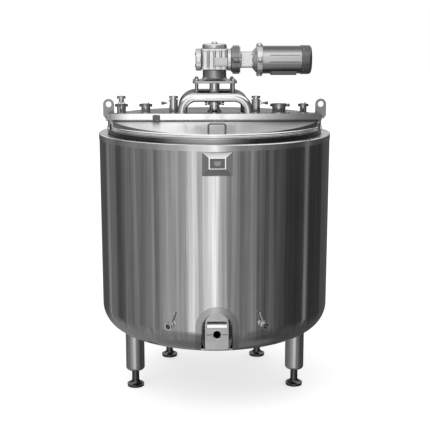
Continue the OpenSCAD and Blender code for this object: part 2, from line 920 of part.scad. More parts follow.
// Turns children from +Z to +X and moves them to the motor's axis
module on_motor_axis(x) {
    translate([x, motor_y, motor_z]) rotate([0, 90, 0]) children();
}

module gear_housing() {
    wall = 8;
    w = gear_x1 - gear_x0;
    d = gear_y1 - gear_y0;
    cx = (gear_x0 + gear_x1) / 2;
    cy = (gear_y0 + gear_y1) / 2;
    rib_t = 6;
    color("gray") difference() {
        union() {
            translate([cx, cy, gear_z0]) linear_extrude(gear_h) round_rect(w, d, 18);
            for (z = [gear_z0 + 4, gear_z1 - 12]) translate([cx, cy, z]) linear_extrude(8)
                round_rect(w, d + 6, 18);
            for (x = [-34, 0, 34]) translate([cx + x - rib_t / 2, gear_y0 - 4, gear_z0 + 4])
                cube([rib_t, d + 8, gear_h - 8]);
        }
        translate([cx, cy, gear_z0 + wall + 4]) linear_extrude(gear_h - 2 * wall - 4)
            round_rect(w - 2 * wall, d - 2 * wall, 10);
        translate([0, 0, gear_z0 - 1]) cylinder(r = out_bearing_r + weld_gap, h = 20);
        translate([0, 0, gear_z1 - 2 * wall]) cylinder(r = 56, h = 3 * wall);
        on_motor_axis(gear_x0 - 10) cylinder(r = bearing_r + weld_gap, h = w + 20);
    }
}

module gear_covers() {
    color("darkgray") {
        // top cover with the boss that holds the upper bearing
        translate([0, 0, gear_z1]) difference() {
            rotate_extrude() {
                square([58, 26]);
                square([68, 16]);
                translate([58, 16]) intersection() {
                    circle(10);
                    square(10);
                }
            }
            translate([0, 0, -1]) cylinder(r = out_bearing_r + weld_gap, h = 18);
        }
        ring(55.5, out_bearing_r + weld_gap, gear_z1 - 14, gear_z1);
        // vent plug
        translate([0, 0, gear_z1 + 26]) cylinder(r = 17, h = 8, $fn = 6);
        translate([0, 0, gear_z1 + 34]) cylinder(r = 11, h = 5);
        // round side cover
        on_motor_axis(gear_x0 - 30) difference() {
            union() {
                translate([0, 0, 4]) cylinder(r = 60, h = 26);
                cylinder(r1 = 54, r2 = 60, h = 4);
            }
            translate([0, 0, 22]) cylinder(r = bearing_r + weld_gap, h = 10);
        }
        for (a = [45:90:315]) on_motor_axis(gear_x0 - 30) rotate([0, 0, a]) translate([46, 0, -4])
            cylinder(r = 6, h = 4, $fn = 6);
        // input cover
        on_motor_axis(gear_x1) tube(60, bearing_r + weld_gap, input_cover_t);
    }
}

module bearing_ring(r_in, r_out, w) {
    tube(r_out, r_in + fit, w);
}

adapter_x0 = gear_x1 + input_cover_t;
adapter_flange = 50;
neck_len = 67;
cone_len = 25;
motor_flange_t = 30;
motor_x0 = adapter_x0 + adapter_flange + neck_len + cone_len + motor_flange_t;
motor_x1 = motor_x0 + motor_len;
stator_x = motor_x0 + 34;
stator_len = motor_len - 75;

module bearings() {
    color("silver") {
        on_motor_axis(gear_x0 - 6) bearing_ring(motor_shaft_r, bearing_r, 16);
        on_motor_axis(gear_x1 - 8) bearing_ring(motor_shaft_r, bearing_r, 16);
        on_motor_axis(motor_x0 - 16) bearing_ring(motor_shaft_r, bearing_r, 14);
        on_motor_axis(motor_x1 - 16) bearing_ring(motor_shaft_r, bearing_r, 14);
        translate([0, 0, gear_z0]) bearing_ring(shaft_d / 2, out_bearing_r, 12);
        translate([0, 0, gear_z1 - 14]) bearing_ring(shaft_d / 2, out_bearing_r, 14);
    }
}

module motor_adapter() {
    neck_w = 87;
    flange_r = motor_d / 2 + 1;
    lobe_ring_r = 65;
    color("darkgray") difference() {
        union() {
            // gear-side flange with four bolt lobes
            on_motor_axis(adapter_x0) cylinder(r = 67, h = adapter_flange);
            for (a = [0:90:270]) on_motor_axis(adapter_x0 + 8) rotate([0, 0, a])
                translate([lobe_ring_r, 0, 0]) cylinder(r = 13, h = adapter_flange - 16);
            on_motor_axis(adapter_x0 + adapter_flange) linear_extrude(neck_len)
                round_rect(neck_w, neck_w, 12);
            on_motor_axis(motor_x0 - motor_flange_t - cone_len)
                cylinder(r1 = 46, r2 = flange_r - 3, h = cone_len);
            on_motor_axis(motor_x0 - motor_flange_t) cylinder(r = flange_r, h = motor_flange_t);
            for (a = [0:90:270]) on_motor_axis(motor_x0 - motor_flange_t + 6) rotate([0, 0, a])
                translate([flange_r, 0, 0]) cylinder(r = 13, h = 16);
        }
        on_motor_axis(adapter_x0 - 1) cylinder(r = 26, h = motor_x0 - adapter_x0);
        on_motor_axis(motor_x0 - 16) cylinder(r = bearing_r + weld_gap, h = 20);
    }
}

module motor_frame() {
    r = motor_d / 2;
    box_x = motor_x0 + 48;
    box_len = motor_len - 74;
    shield_len = 32;
    box_w = 92;
    box_y = motor_y - box_w / 2;
    color("silver") {
        difference() {
            on_motor_axis(motor_x0) cylinder(r = r, h = motor_len);
            on_motor_axis(motor_x0 - 1) cylinder(r = r - 7, h = motor_len - 15);
            on_motor_axis(motor_x1 - 17) cylinder(r = bearing_r + weld_gap, h = 18);
            // parting line of the end shield
            on_motor_axis(motor_x0 + shield_len) tube(r + 1, r - 1, 1.5);
            // two fine lengthwise grooves on each side
            for (a = [70, 98, 250, 278]) on_motor_axis(motor_x0 + shield_len + 4) rotate([0, 0, a])
                translate([r, 0, 0]) cylinder(r = 2, h = motor_len - shield_len - 8);
        }
        // stator core
        on_motor_axis(stator_x) tube(r - 7 - weld_gap, 46, stator_len);
        // connection box with its cable gland at the back
        difference() {
            translate([box_x, box_y, motor_z - r - 7]) cube([box_len, box_w, 50]);
            on_motor_axis(box_x - 1) cylinder(r = r + weld_gap, h = box_len + 2);
        }
        translate([box_x + box_len / 2, box_y + box_w, motor_z - r + 3]) rotate([-90, 0, 0]) difference() {
            union() {
                cylinder(r = 10, h = 12, $fn = 6);
                cylinder(r = 8, h = 24);
            }
            translate([0, 0, 6]) cylinder(r = 5, h = 20);
        }
    }
}

module fan_cover() {
    r = motor_d / 2 + 3;
    wall = 3;
    edge = 16;
    slot_count = 18;
    color("gray") on_motor_axis(motor_x1) difference() {
        rotate_extrude() difference() {
            union() {
                square([r, fan_cover_len - edge]);
                square([r - edge, fan_cover_len]);
                translate([r - edge, fan_cover_len - edge]) circle(edge);
            }
            translate([-1, -1]) square([r - wall + 1, fan_cover_len - edge + 1]);
            translate([-1, -1]) square([r - edge + 1, fan_cover_len - wall + 1]);
            translate([r - edge, fan_cover_len - edge]) circle(edge - wall);
        }
        for (a = [0:slot_count - 1]) rotate([0, 0, a * 360 / slot_count])
            translate([20, -1.6, fan_cover_len - 8]) cube([34, 3.2, 20]);
    }
}

module rotor_and_worm() {
    fan_x = motor_x1 + 8;
    color("dimgray") {
        on_motor_axis(gear_x0 - 6) cylinder(r = motor_shaft_r, h = fan_x + 26 - gear_x0 + 6);
        on_motor_axis(-38) cylinder(r = worm_r, h = 92);
        on_motor_axis(stator_x) cylinder(r = 45.4, h = stator_len);
        on_motor_axis(fan_x) {
            cylinder(r = 20, h = 26);
            cylinder(r = 60, h = 4);
            for (a = [0:45:315]) rotate([0, 0, a]) translate([18, -1.5, 3]) cube([42, 3, 23]);
        }
    }
}

module agitator() {
    shaft_z0 = floor_front_z + 150;
    hub_z = shaft_z0 + 10;
    hub_r = 34;
    blade_h = 70;
    blade_t = 6;
    coupling_z0 = deck_z + 96 + 4;
    color("gainsboro") {
        translate([0, 0, shaft_z0]) cylinder(d = shaft_d, h = gear_z1 + 14 - shaft_z0);
        // rigid coupling under the gear unit
        translate([0, 0, coupling_z0]) cylinder(r = 28.5, h = lantern_z + 30 - coupling_z0);
        // worm wheel
        translate([0, 0, motor_z - 17]) cylinder(r = wheel_r, h = 34);
        translate([0, 0, motor_z - 26]) cylinder(r = 32, h = 52);
        // hub and pitched blades
        translate([0, 0, hub_z]) cylinder(r = hub_r, h = 80);
        for (a = [0, 90, 180, 270]) rotate([0, 0, a]) translate([hub_r - 6, 0, hub_z + 40])
            rotate([40, 0, 0]) translate([0, -blade_t / 2, -blade_h / 2])
                cube([blade_span / 2 - hub_r + 6, blade_t, blade_h]);
    }
}

outer_shell();
shoulder_ring();
neck_ring();
inner_vessel();
cooling_jacket();
insulation();
base_plate();
support_ring();
leg_tubes();
leg_bushes();
spindle(0);  // spindle_front_left
foot_plate(0);  // foot_plate_front_left
foot_rubber(0);  // foot_rubber_front_left
spindle(1);  // spindle_front_right
foot_plate(1);  // foot_plate_front_right
foot_rubber(1);  // foot_rubber_front_right
spindle(2);  // spindle_rear_left
foot_plate(2);  // foot_plate_rear_left
foot_rubber(2);  // foot_rubber_rear_left
spindle(3);  // spindle_rear_right
foot_plate(3);  // foot_plate_rear_right
foot_rubber(3);  // foot_rubber_rear_right
recess_liner();
recess_surround();
outlet_pipe();
outlet_block_lower();
outlet_block_upper();
nameplate_holder();
nameplate();
sample_cocks();
cock_lever(-1);  // cock_lever_left
cock_lever(1);  // cock_lever_right
lid_gasket();
cross_beam();
hinge_pins();
front_lid();
lid_handle();
rear_deck();
lifting_lugs();
bridge_front();
bridge_rear();
bridge_plate();
drive_studs();
stud_nuts();
seal_housing();
deck_ferrules();
clamps_and_caps();
relief_valves();
relief_lever(0);  // relief_lever_left
relief_lever(1);  // relief_lever_right
spray_ball();
lantern();
gear_housing();
gear_covers();
bearings();
motor_adapter();
motor_frame();
fan_cover();
rotor_and_worm();
agitator();
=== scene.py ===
"""Looks for an upright insulated milk tank: finishes, welds, fasteners, plates, light and camera."""

import json
import math
import random

import bmesh
import bpy
from mathutils import Matrix, Vector


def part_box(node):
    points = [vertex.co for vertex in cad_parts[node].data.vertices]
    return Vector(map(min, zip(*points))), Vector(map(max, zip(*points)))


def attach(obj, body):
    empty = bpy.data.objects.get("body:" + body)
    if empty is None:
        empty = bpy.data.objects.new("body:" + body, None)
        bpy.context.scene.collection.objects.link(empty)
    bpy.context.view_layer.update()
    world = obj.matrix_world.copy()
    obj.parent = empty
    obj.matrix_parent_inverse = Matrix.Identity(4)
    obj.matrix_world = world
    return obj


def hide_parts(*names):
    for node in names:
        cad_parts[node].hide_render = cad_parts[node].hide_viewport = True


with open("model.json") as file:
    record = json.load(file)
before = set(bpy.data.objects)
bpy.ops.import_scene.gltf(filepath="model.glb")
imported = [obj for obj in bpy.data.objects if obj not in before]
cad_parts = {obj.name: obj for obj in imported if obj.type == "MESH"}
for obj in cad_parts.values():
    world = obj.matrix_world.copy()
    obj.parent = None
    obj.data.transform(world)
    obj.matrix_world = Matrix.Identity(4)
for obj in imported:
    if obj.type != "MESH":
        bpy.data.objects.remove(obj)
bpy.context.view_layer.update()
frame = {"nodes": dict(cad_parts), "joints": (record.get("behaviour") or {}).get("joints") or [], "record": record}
nodes = frame["nodes"]
joints = {j["name"]: j for j in frame["joints"]}
random.seed(11)

UP = Vector((0, 0, 1))
FRONT = Vector((0, -1, 0))
RIGHT = Vector((1, 0, 0))


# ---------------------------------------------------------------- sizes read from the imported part


def centre_of(node):
    low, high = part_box(node)
    return (low + high) / 2


def size_of(node):
    low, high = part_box(node)
    return high - low


SHELL_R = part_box("outer_shell")[1].x
SHELL_Z0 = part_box("outer_shell")[0].z
KNUCKLE_R = SHELL_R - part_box("base_plate")[1].x
SHOULDER_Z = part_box("shoulder_ring")[1].z
DECK_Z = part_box("rear_deck")[1].z
BEAM_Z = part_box("cross_beam")[1].z
LEG_R = 0.054
WELD_STEP = 0.0012  # distance between the points along a weld bead
WELD_PITCH = 0.0045  # distance between its ripples
TANK_MID = centre_of("outer_shell")


def knuckle_height(x, y):
    """Height of the shell's underside at a plan point."""
    past = math.hypot(x, y) - (SHELL_R - KNUCKLE_R)
    if past <= 0:
        return SHELL_Z0
    return SHELL_Z0 + KNUCKLE_R - math.sqrt(max(KNUCKLE_R**2 - past**2, 0))


# ---------------------------------------------------------------- shared finish effects


def new_group(name, inputs, outputs):
    """A shader node group with (name, socket type, default) inputs and (name, socket type) outputs."""
    group = bpy.data.node_groups.new(name, "ShaderNodeTree")
    for label, kind, value in inputs:
        socket = group.interface.new_socket(label, in_out="INPUT", socket_type=kind)
        if value is not None:
            socket.default_value = value
    for label, kind in outputs:
        group.interface.new_socket(label, in_out="OUTPUT", socket_type=kind)
    entry = group.nodes.new("NodeGroupInput")
    leave = group.nodes.new("NodeGroupOutput")
    return group, entry, leave


class Wiring:
    """Short hands for adding and joining nodes in one tree."""

    def __init__(self, tree):
        self.tree = tree

    def node(self, kind, **settings):
        made = self.tree.nodes.new(kind)
        for key, value in settings.items():
            setattr(made, key, value)
        return made

    def feed(self, target, value):
        if isinstance(value, bpy.types.NodeSocket):
            self.tree.links.new(value, target)
        elif value is not None:
            target.default_value = value

    def math(self, operation, a, b=None, c=None, clamp=False):
        made = self.node("ShaderNodeMath", operation=operation, use_clamp=clamp)
        for socket, value in zip(made.inputs, (a, b, c)):
            self.feed(socket, value)
        return made.outputs[0]

    def stretch(self, vector, by):
        made = self.node("ShaderNodeVectorMath", operation="MULTIPLY")
        self.feed(made.inputs[0], vector)
        self.feed(made.inputs[1], by)
        return made.outputs[0]

    def noise(self, vector, scale, detail=3.0, rough=0.5, distortion=0.0):
        made = self.node("ShaderNodeTexNoise", noise_dimensions="3D")
        self.feed(made.inputs["Vector"], vector)
        self.feed(made.inputs["Scale"], scale)
        made.inputs["Detail"].default_value = detail
        made.inputs["Roughness"].default_value = rough
        made.inputs["Distortion"].default_value = distortion
        return made.outputs["Fac"]

    def span(self, value, low, high, to_low=0.0, to_high=1.0, smooth=False):
        made = self.node("ShaderNodeMapRange")
        if smooth:
            made.interpolation_type = "SMOOTHSTEP"
        for label, given in zip(
            ("Value", "From Min", "From Max", "To Min", "To Max"),
            (value, low, high, to_low, to_high),
        ):
            self.feed(made.inputs[label], given)
        return made.outputs[0]

    def mix(self, share, a, b, blend="MIX"):
        made = self.node("ShaderNodeMix", data_type="RGBA", blend_type=blend)
        self.feed(made.inputs["Factor"], share)
        self.feed(made.inputs["A"], a)
        self.feed(made.inputs["B"], b)
        return made.outputs["Result"]


def grey(level):
    return (level, level, level * 1.004, 1.0)


# Brush lines: long fine scratches laid along one direction, as height, tone and gloss
def make_brush_lines():
    group, entry, leave = new_group(
        "Brush lines",
        [
            ("Vector", "NodeSocketVector", None),
            ("Stretch", "NodeSocketVector", (1.0, 1.0, 1.0)),
            ("Fineness", "NodeSocketFloat", 1.0),
        ],
        [
            ("Height", "NodeSocketFloat"),
            ("Tone", "NodeSocketFloat"),
            ("Gloss", "NodeSocketFloat"),
        ],
    )
    w = Wiring(group)
    laid = w.stretch(entry.outputs["Vector"], entry.outputs["Stretch"])
    fine = w.noise(laid, entry.outputs["Fineness"], detail=4.0, rough=0.7)
    broad = w.noise(
        laid, w.math("MULTIPLY", entry.outputs["Fineness"], 0.13), detail=2.0
    )
    w.feed(leave.inputs["Height"], fine)
    both = w.math("ADD", w.math("MULTIPLY", fine, 0.45), w.math("MULTIPLY", broad, 0.55))
    w.feed(leave.inputs["Tone"], w.span(both, 0.3, 0.7))
    w.feed(leave.inputs["Gloss"], w.span(broad, 0.35, 0.65))
    return group


# Handling marks: soft cloudy patches and dried-water blots that change the gloss and the tone a little
def make_handling_marks():
    group, entry, leave = new_group(
        "Handling marks",
        [("Vector", "NodeSocketVector", None), ("Size", "NodeSocketFloat", 6.0)],
        [("Cloud", "NodeSocketFloat"), ("Blots", "NodeSocketFloat")],
    )
    w = Wiring(group)
    cloud = w.noise(
        entry.outputs["Vector"], entry.outputs["Size"], detail=4.0, rough=0.6
    )
    blot = w.noise(
        entry.outputs["Vector"],
        w.math("MULTIPLY", entry.outputs["Size"], 5.3),
        detail=5.0,
        rough=0.65,
        distortion=0.4,
    )
    w.feed(leave.inputs["Cloud"], w.span(cloud, 0.3, 0.7))
    w.feed(leave.inputs["Blots"], w.span(blot, 0.58, 0.72))
    return group


# Casting skin: the fine orange-peel of a painted sand casting, with worn high spots, and dust with painted shade
# in its hollows
def make_casting_skin():
    group, entry, leave = new_group(
        "Casting skin",
        [("Vector", "NodeSocketVector", None), ("Grit", "NodeSocketFloat", 380.0)],
        [
            ("Height", "NodeSocketFloat"),
            ("Wear", "NodeSocketFloat"),
            ("Dust and shade", "NodeSocketFloat"),
        ],
    )
    w = Wiring(group)
    grit = w.noise(entry.outputs["Vector"], entry.outputs["Grit"], detail=3.0)
    swell = w.noise(
        entry.outputs["Vector"], w.math("MULTIPLY", entry.outputs["Grit"], 0.08)
    )
    height = w.math("ADD", w.math("MULTIPLY", grit, 0.4), w.math("MULTIPLY", swell, 0.6))
    w.feed(leave.inputs["Height"], height)
    edge = w.node("ShaderNodeNewGeometry").outputs["Pointiness"]
    rubbed = w.math("MULTIPLY", w.span(edge, 0.51, 0.57), w.span(grit, 0.35, 0.6))
    w.feed(leave.inputs["Wear"], rubbed)
    # dust and painted shade: a mask that darkens the hollows, where shade falls
    hollow = w.span(edge, 0.495, 0.45)
    w.feed(leave.inputs["Dust and shade"], w.math("MULTIPLY", hollow, w.span(swell, 0.2, 0.5)))
    return group


BRUSH_LINES = make_brush_lines()
HANDLING_MARKS = make_handling_marks()
CASTING_SKIN = make_casting_skin()


def start_material(name):
    made = bpy.data.materials.new(name)
    made.use_nodes = True
    made.node_tree.nodes.clear()
    w = Wiring(made.node_tree)
    leave = w.node("ShaderNodeOutputMaterial")
    shader = w.node("ShaderNodeBsdfPrincipled")
    w.feed(leave.inputs["Surface"], shader.outputs["BSDF"])
    place = w.node("ShaderNodeTexCoord").outputs["Object"]
    return made, w, shader, place


def use_group(w, group, **inputs):
    made = w.node("ShaderNodeGroup")
    made.node_tree = group
    for label, value in inputs.items():
        w.feed(made.inputs[label], value)
    return made.outputs


def bump(w, height, strength, distance, under=None):
    made = w.node("ShaderNodeBump")
    made.inputs["Strength"].default_value = strength
    made.inputs["Distance"].default_value = distance
    w.feed(made.inputs["Height"], height)
    if under is not None:
        w.feed(made.inputs["Normal"], under)
    return made.outputs["Normal"]


def paint_fading_shade(w, place, colour, fades):
    """Paints shade into colour along an axis, darkening it as painted shade and reflection falloff; each fade is
    (axis, from, to, share that is left at the end).
    """
    split = w.node("ShaderNodeSeparateXYZ")
    w.feed(split.inputs[0], place)
    for axis, start, end, left in fades:
        share = w.span(split.outputs[axis], start, end, 1.0, left, smooth=True)
        colour = w.mix(1.0, colour, share, "MULTIPLY")
    return colour


def banded(w, place, colour, bands):
    """Darkens a band along an axis; each band is (axis, from, to, edge, share that is left inside)."""
    split = w.node("ShaderNodeSeparateXYZ")
    w.feed(split.inputs[0], place)
    for axis, start, end, edge, left in bands:
        up = w.span(split.outputs[axis], start - edge, start, smooth=True)
        down = w.span(split.outputs[axis], end, end + edge, 1.0, 0.0, smooth=True)
        share = w.span(w.math("MULTIPLY", up, down), 0.0, 1.0, 1.0, left)
        colour = w.mix(1.0, colour, share, "MULTIPLY")
    return colour


def paint_turned_shade(w, colour, left):
    """Paints shade into colour where a round piece turns away from the viewer, darkening its sides."""
    away = w.node("ShaderNodeLayerWeight")
    away.inputs["Blend"].default_value = 0.5
    share = w.span(away.outputs["Facing"], 0.25, 0.75, 1.0, left, smooth=True)
    return w.mix(1.0, colour, share, "MULTIPLY")


def steel(
    name,
    tone,
    rough,
    along,
    fineness,
    scratch,
    contrast=0.12,
    wave=0.0,
    streak=0.0,
    fades=(),
    turned=1.0,
):
    """Stainless steel with brush lines that run along the short direction of along.

    wave is the depth of the rolled sheet's own unevenness and streak the strength of long upright
    bands in its tone, partly the sheet's own tone and partly painted reflection streaks; both die
    away over the rounded bottom. fades darken the tone along an axis as painted shade. turned is the
    share of the tone that is left where a round piece turns away from the viewer, painted shade on
    its sides.
    """
    made, w, shader, place = start_material(name)
    lines = use_group(w, BRUSH_LINES, Vector=place, Stretch=along, Fineness=fineness)
    marks = use_group(w, HANDLING_MARKS, Vector=place, Size=5.0)
    worn = w.math("MULTIPLY", marks["Cloud"], 0.35)
    share = w.math("ADD", w.math("MULTIPLY", lines["Tone"], 0.65), worn)
    colour = w.mix(share, grey(tone * (1 - contrast)), grey(min(tone * (1 + contrast), 0.95)))
    colour = w.mix(w.math("MULTIPLY", marks["Blots"], 0.12), colour, grey(tone * 0.72))
    flatness = 1.0
    if wave:
        height = w.node("ShaderNodeSeparateXYZ")
        w.feed(height.inputs[0], place)
        start, end = SHELL_Z0 + 0.03, SHELL_Z0 + KNUCKLE_R
        flatness = w.span(height.outputs[2], start, end, 0.1, 1.0, smooth=True)
    # painted reflection streaks: upright bands of lighter and darker tone, also the sheet's own uneven tone
    if streak:
        bands = w.noise(w.stretch(place, (1.0, 1.0, 0.012)), 46.0, detail=3.0, rough=0.65)
        share = w.span(bands, 0.32, 0.68, 1 - streak, 1 + streak)
        colour = w.mix(flatness, colour, share, "MULTIPLY")
    # painted shade: the tone fades darker along an axis
    if fades:
        colour = paint_fading_shade(w, place, colour, fades)
    # painted shade on the sides of round pieces
    if turned < 1:
        colour = paint_turned_shade(w, colour, turned)
    w.feed(shader.inputs["Base Color"], colour)
    shader.inputs["Metallic"].default_value = 1.0
    gloss = w.math("ADD", w.math("MULTIPLY", lines["Gloss"], 0.5), w.math("MULTIPLY", marks["Cloud"], 0.5))
    w.feed(shader.inputs["Roughness"], w.span(gloss, 0.0, 1.0, rough * 0.82, rough * 1.25))
    normal = bump(w, lines["Height"], scratch, 0.0002)
    if wave:
        upright = w.noise(w.stretch(place, (1.0, 1.0, 0.03)), 15.0, detail=2.5, rough=0.5)
        upright = w.math("MULTIPLY", upright, flatness)
        normal = bump(w, upright, 1.0, wave, under=normal)
    w.feed(shader.inputs["Normal"], normal)
    return made


def casting(name, tone, rough, metal=0.85, bands=(), turned=0.25):
    """Silver-grey paint over a sand casting, rubbed bright on its edges, with dust and painted shade darkening its
    corners and painted shade on round sides that turn away from the viewer.
    """
    made, w, shader, place = start_material(name)
    skin = use_group(w, CASTING_SKIN, Vector=place, Grit=300.0)
    marks = use_group(w, HANDLING_MARKS, Vector=place, Size=9.0)
    colour = w.mix(marks["Cloud"], grey(tone * 0.88), grey(tone * 1.1))
    colour = w.mix(w.math("MULTIPLY", skin["Wear"], 0.7), colour, grey(min(tone * 1.6, 0.8)))
    # dust and painted shade: the corners darken to a fifth of the tone
    colour = w.mix(w.math("MULTIPLY", skin["Dust and shade"], 0.9), colour, grey(tone * 0.2))
    if bands:
        colour = banded(w, place, colour, bands)
    # painted shade on the sides of round pieces that turn away from the viewer
    w.feed(shader.inputs["Base Color"], paint_turned_shade(w, colour, turned))
    shader.inputs["Metallic"].default_value = metal
    w.feed(shader.inputs["Roughness"], w.span(marks["Cloud"], 0, 1, rough * 0.85, rough * 1.15))
    w.feed(shader.inputs["Normal"], bump(w, skin["Height"], 0.35, 0.0009))
    return made


def rubber(name, tone, rough):
    made, w, shader, place = start_material(name)
    skin = use_group(w, CASTING_SKIN, Vector=place, Grit=500.0)
    marks = use_group(w, HANDLING_MARKS, Vector=place, Size=14.0)
    dusty = w.math("MULTIPLY", marks["Blots"], 0.35)
    w.feed(shader.inputs["Base Color"], w.mix(dusty, grey(tone), grey(tone * 2 + 0.05)))
    w.feed(shader.inputs["Roughness"], w.span(marks["Cloud"], 0, 1, rough * 0.9, rough))
    w.feed(shader.inputs["Normal"], bump(w, skin["Height"], 0.4, 0.0005))
    return made


def foam(name):
    made, w, shader, place = start_material(name)
    cells = w.noise(place, 260.0, detail=2.0)
    w.feed(shader.inputs["Base Color"], w.mix(cells, (0.62, 0.55, 0.33, 1), (0.8, 0.74, 0.52, 1)))
    shader.inputs["Roughness"].default_value = 0.85
    w.feed(shader.inputs["Normal"], bump(w, cells, 0.6, 0.001))
    return made


ROUND_THE_TANK = (0.35, 0.35, 60.0)
UPRIGHT = (60.0, 60.0, 0.35)
ACROSS_X = (0.35, 60.0, 60.0)
EVERY_WAY = (30.0, 30.0, 30.0)

# where a finish is darkened by painted shade and painted reflection falloff, as (axis, from, to, share of the tone
# left at the end): the neck, beam and lid towards their sides, the deck above the shoulder, the motor towards its
# top and bottom, the trim towards its lower part and the polished parts towards the back
NECK_FADES = ((0, 0.02, 0.22, 0.20), (0, -0.16, -0.34, 0.25))
BEAM_FADES = ((0, 0.02, 0.56, 0.20), (0, -0.45, -0.585, 0.30))
LID_FADES = ((0, -0.05, 0.32, 0.42), (0, -0.18, -0.42, 0.62))
DECK_FADES = ((2, SHOULDER_Z + 0.03, SHOULDER_Z + 0.06, 0.34),)
MOTOR_Z = centre_of("motor_adapter").z
MOTOR_FADES = ((2, MOTOR_Z + 0.025, MOTOR_Z + 0.072, 0.12), (2, MOTOR_Z - 0.01, MOTOR_Z - 0.065, 0.22))
TRIM_FADES = ((2, SHELL_Z0 + 0.50, SHELL_Z0 + 0.30, 0.50),)
REAR_FADES = ((1, 0.11, 0.15, 0.20),)
FLANGE_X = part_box("motor_adapter")[0].x
FLANGE_BAND = ((0, FLANGE_X, FLANGE_X + 0.044, 0.004, 0.35),)

FINISH = {
    "shell_steel": steel("shell_steel", 0.60, 0.12, UPRIGHT, 1.6, 0.04, 0.10, wave=0.0009, streak=0.26),
    # the trim's bright tone is painted light, fading to painted shade on the lower recess surround; the top steel
    # fades to painted shade over the deck
    "trim_steel": steel("trim_steel", 0.85, 0.17, UPRIGHT, 3.0, 0.05, 0.06, fades=TRIM_FADES),
    "top_steel": steel("top_steel", 0.74, 0.22, ACROSS_X, 3.0, 0.05, 0.06, fades=DECK_FADES),
    # the neck ring's darker tone and its fades towards the sides are painted shade under the lid's rim
    "neck_steel": steel("neck_steel", 0.42, 0.35, ROUND_THE_TANK, 3.0, 0.08, 0.10, fades=NECK_FADES),
    # the lid and the beam take brighter tones than the shell, painted light, fading to painted shade towards their
    # sides
    "lid_steel": steel("lid_steel", 0.90, 0.33, ACROSS_X, 3.0, 0.04, 0.04, fades=LID_FADES),
    "beam_steel": steel("beam_steel", 0.92, 0.18, ACROSS_X, 3.0, 0.04, 0.04, fades=BEAM_FADES),
    # the handle's dark tone is painted shade for the dark reflections on its round bars
    "handle_steel": steel("handle_steel", 0.26, 0.30, EVERY_WAY, 3.0, 0.03, 0.06),
    "lug_steel": steel("lug_steel", 0.34, 0.34, UPRIGHT, 4.0, 0.08, 0.10),
    "vessel_steel": steel("vessel_steel", 0.6, 0.26, ROUND_THE_TANK, 3.0, 0.10, 0.10),
    # the recess lining's darker tone is painted shade inside the outlet recess
    "recess_steel": steel("recess_steel", 0.42, 0.20, UPRIGHT, 3.0, 0.10, 0.10),
    "block_steel": steel("block_steel", 0.6, 0.36, ACROSS_X, 5.0, 0.18, 0.08),
    # polished parts darken towards the back and on their turned-away sides: painted shade
    "polished_steel": steel(
        "polished_steel", 0.82, 0.12, EVERY_WAY, 3.0, 0.012, 0.04, fades=REAR_FADES, turned=0.16
    ),
    "clamp_steel": steel("clamp_steel", 0.50, 0.22, EVERY_WAY, 6.0, 0.06, 0.10, turned=0.25),
    "leg_steel": steel("leg_steel", 0.58, 0.2, UPRIGHT, 3.0, 0.06, 0.1),
    "foot_steel": steel("foot_steel", 0.13, 0.24, ROUND_THE_TANK, 6.0, 0.12, 0.12, turned=0.3),
    "plate_metal": steel("plate_metal", 0.2, 0.42, ACROSS_X, 8.0, 0.1, 0.12),
    # the motor's fades towards its top and bottom are painted shade
    "motor_metal": steel("motor_metal", 0.62, 0.28, ACROSS_X, 4.0, 0.04, 0.05, fades=MOTOR_FADES),
    "machine_steel": steel("machine_steel", 0.5, 0.3, ROUND_THE_TANK, 8.0, 0.15, 0.1),
    "gear_paint": casting("gear_paint", 0.74, 0.24, bands=FLANGE_BAND),
    "fan_cover_metal": casting("fan_cover_metal", 0.13, 0.34),
    # the lever steel's near-white tone is a painted highlight; it also finishes the rim lip, the block's top edge
    # and the bore lip
    "lever_steel": steel("lever_steel", 0.95, 0.22, EVERY_WAY, 3.0, 0.02, 0.04),
    "lift_steel": steel("lift_steel", 0.22, 0.34, EVERY_WAY, 3.0, 0.05, 0.08),
    # the lantern's paint is a darker copy of the gear paint, painted shade
    "lantern_paint": casting("lantern_paint", 0.42, 0.26),
    "foot_rubber": rubber("foot_rubber", 0.018, 0.6),
    "gasket_rubber": rubber("gasket_rubber", 0.12, 0.5),
    "foam": foam("foam"),
}
# weld beads have their own finish, since no slot is theirs alone
WELD = steel("weld_steel", 0.5, 0.3, EVERY_WAY, 9.0, 0.3, 0.14)

# nodes whose finish differs from their slot's
NODE_FINISH = {
    # the cock levers take the lever steel's painted highlight
    "cock_lever_left": "lever_steel",
    "cock_lever_right": "lever_steel",
    "relief_lever_left": "lift_steel",
    "relief_lever_right": "lift_steel",
    "lantern": "lantern_paint",
}
SLOT_OF = {s["node"]: s["material_slot"] for s in frame["record"]["subparts"]}


def dress(obj, finish):
    obj.data.materials.clear()
    obj.data.materials.append(finish)
    return obj


for name, obj in nodes.items():
    dress(obj, FINISH[NODE_FINISH.get(name, SLOT_OF[name])])


# ---------------------------------------------------------------- mesh making


def put(bm, name, finish, body, smooth=True):
    """Turns a bmesh into a piece of the tank that rides on a body."""
    mesh = bpy.data.meshes.new(name)
    bmesh.ops.recalc_face_normals(bm, faces=bm.faces)
    bm.to_mesh(mesh)
    bm.free()
    if smooth:
        for face in mesh.polygons:
            face.use_smooth = True
    obj = bpy.data.objects.new(name, mesh)
    bpy.context.scene.collection.objects.link(obj)
    dress(obj, finish)
    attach(obj, body)
    return obj


def facing(origin, outward, twist=0.0):
    """Matrix that stands +Z on outward at origin."""
    turn = Vector(outward).normalized().to_track_quat("Z", "Y").to_matrix().to_4x4()
    return Matrix.Translation(origin) @ turn @ Matrix.Rotation(twist, 4, "Z")


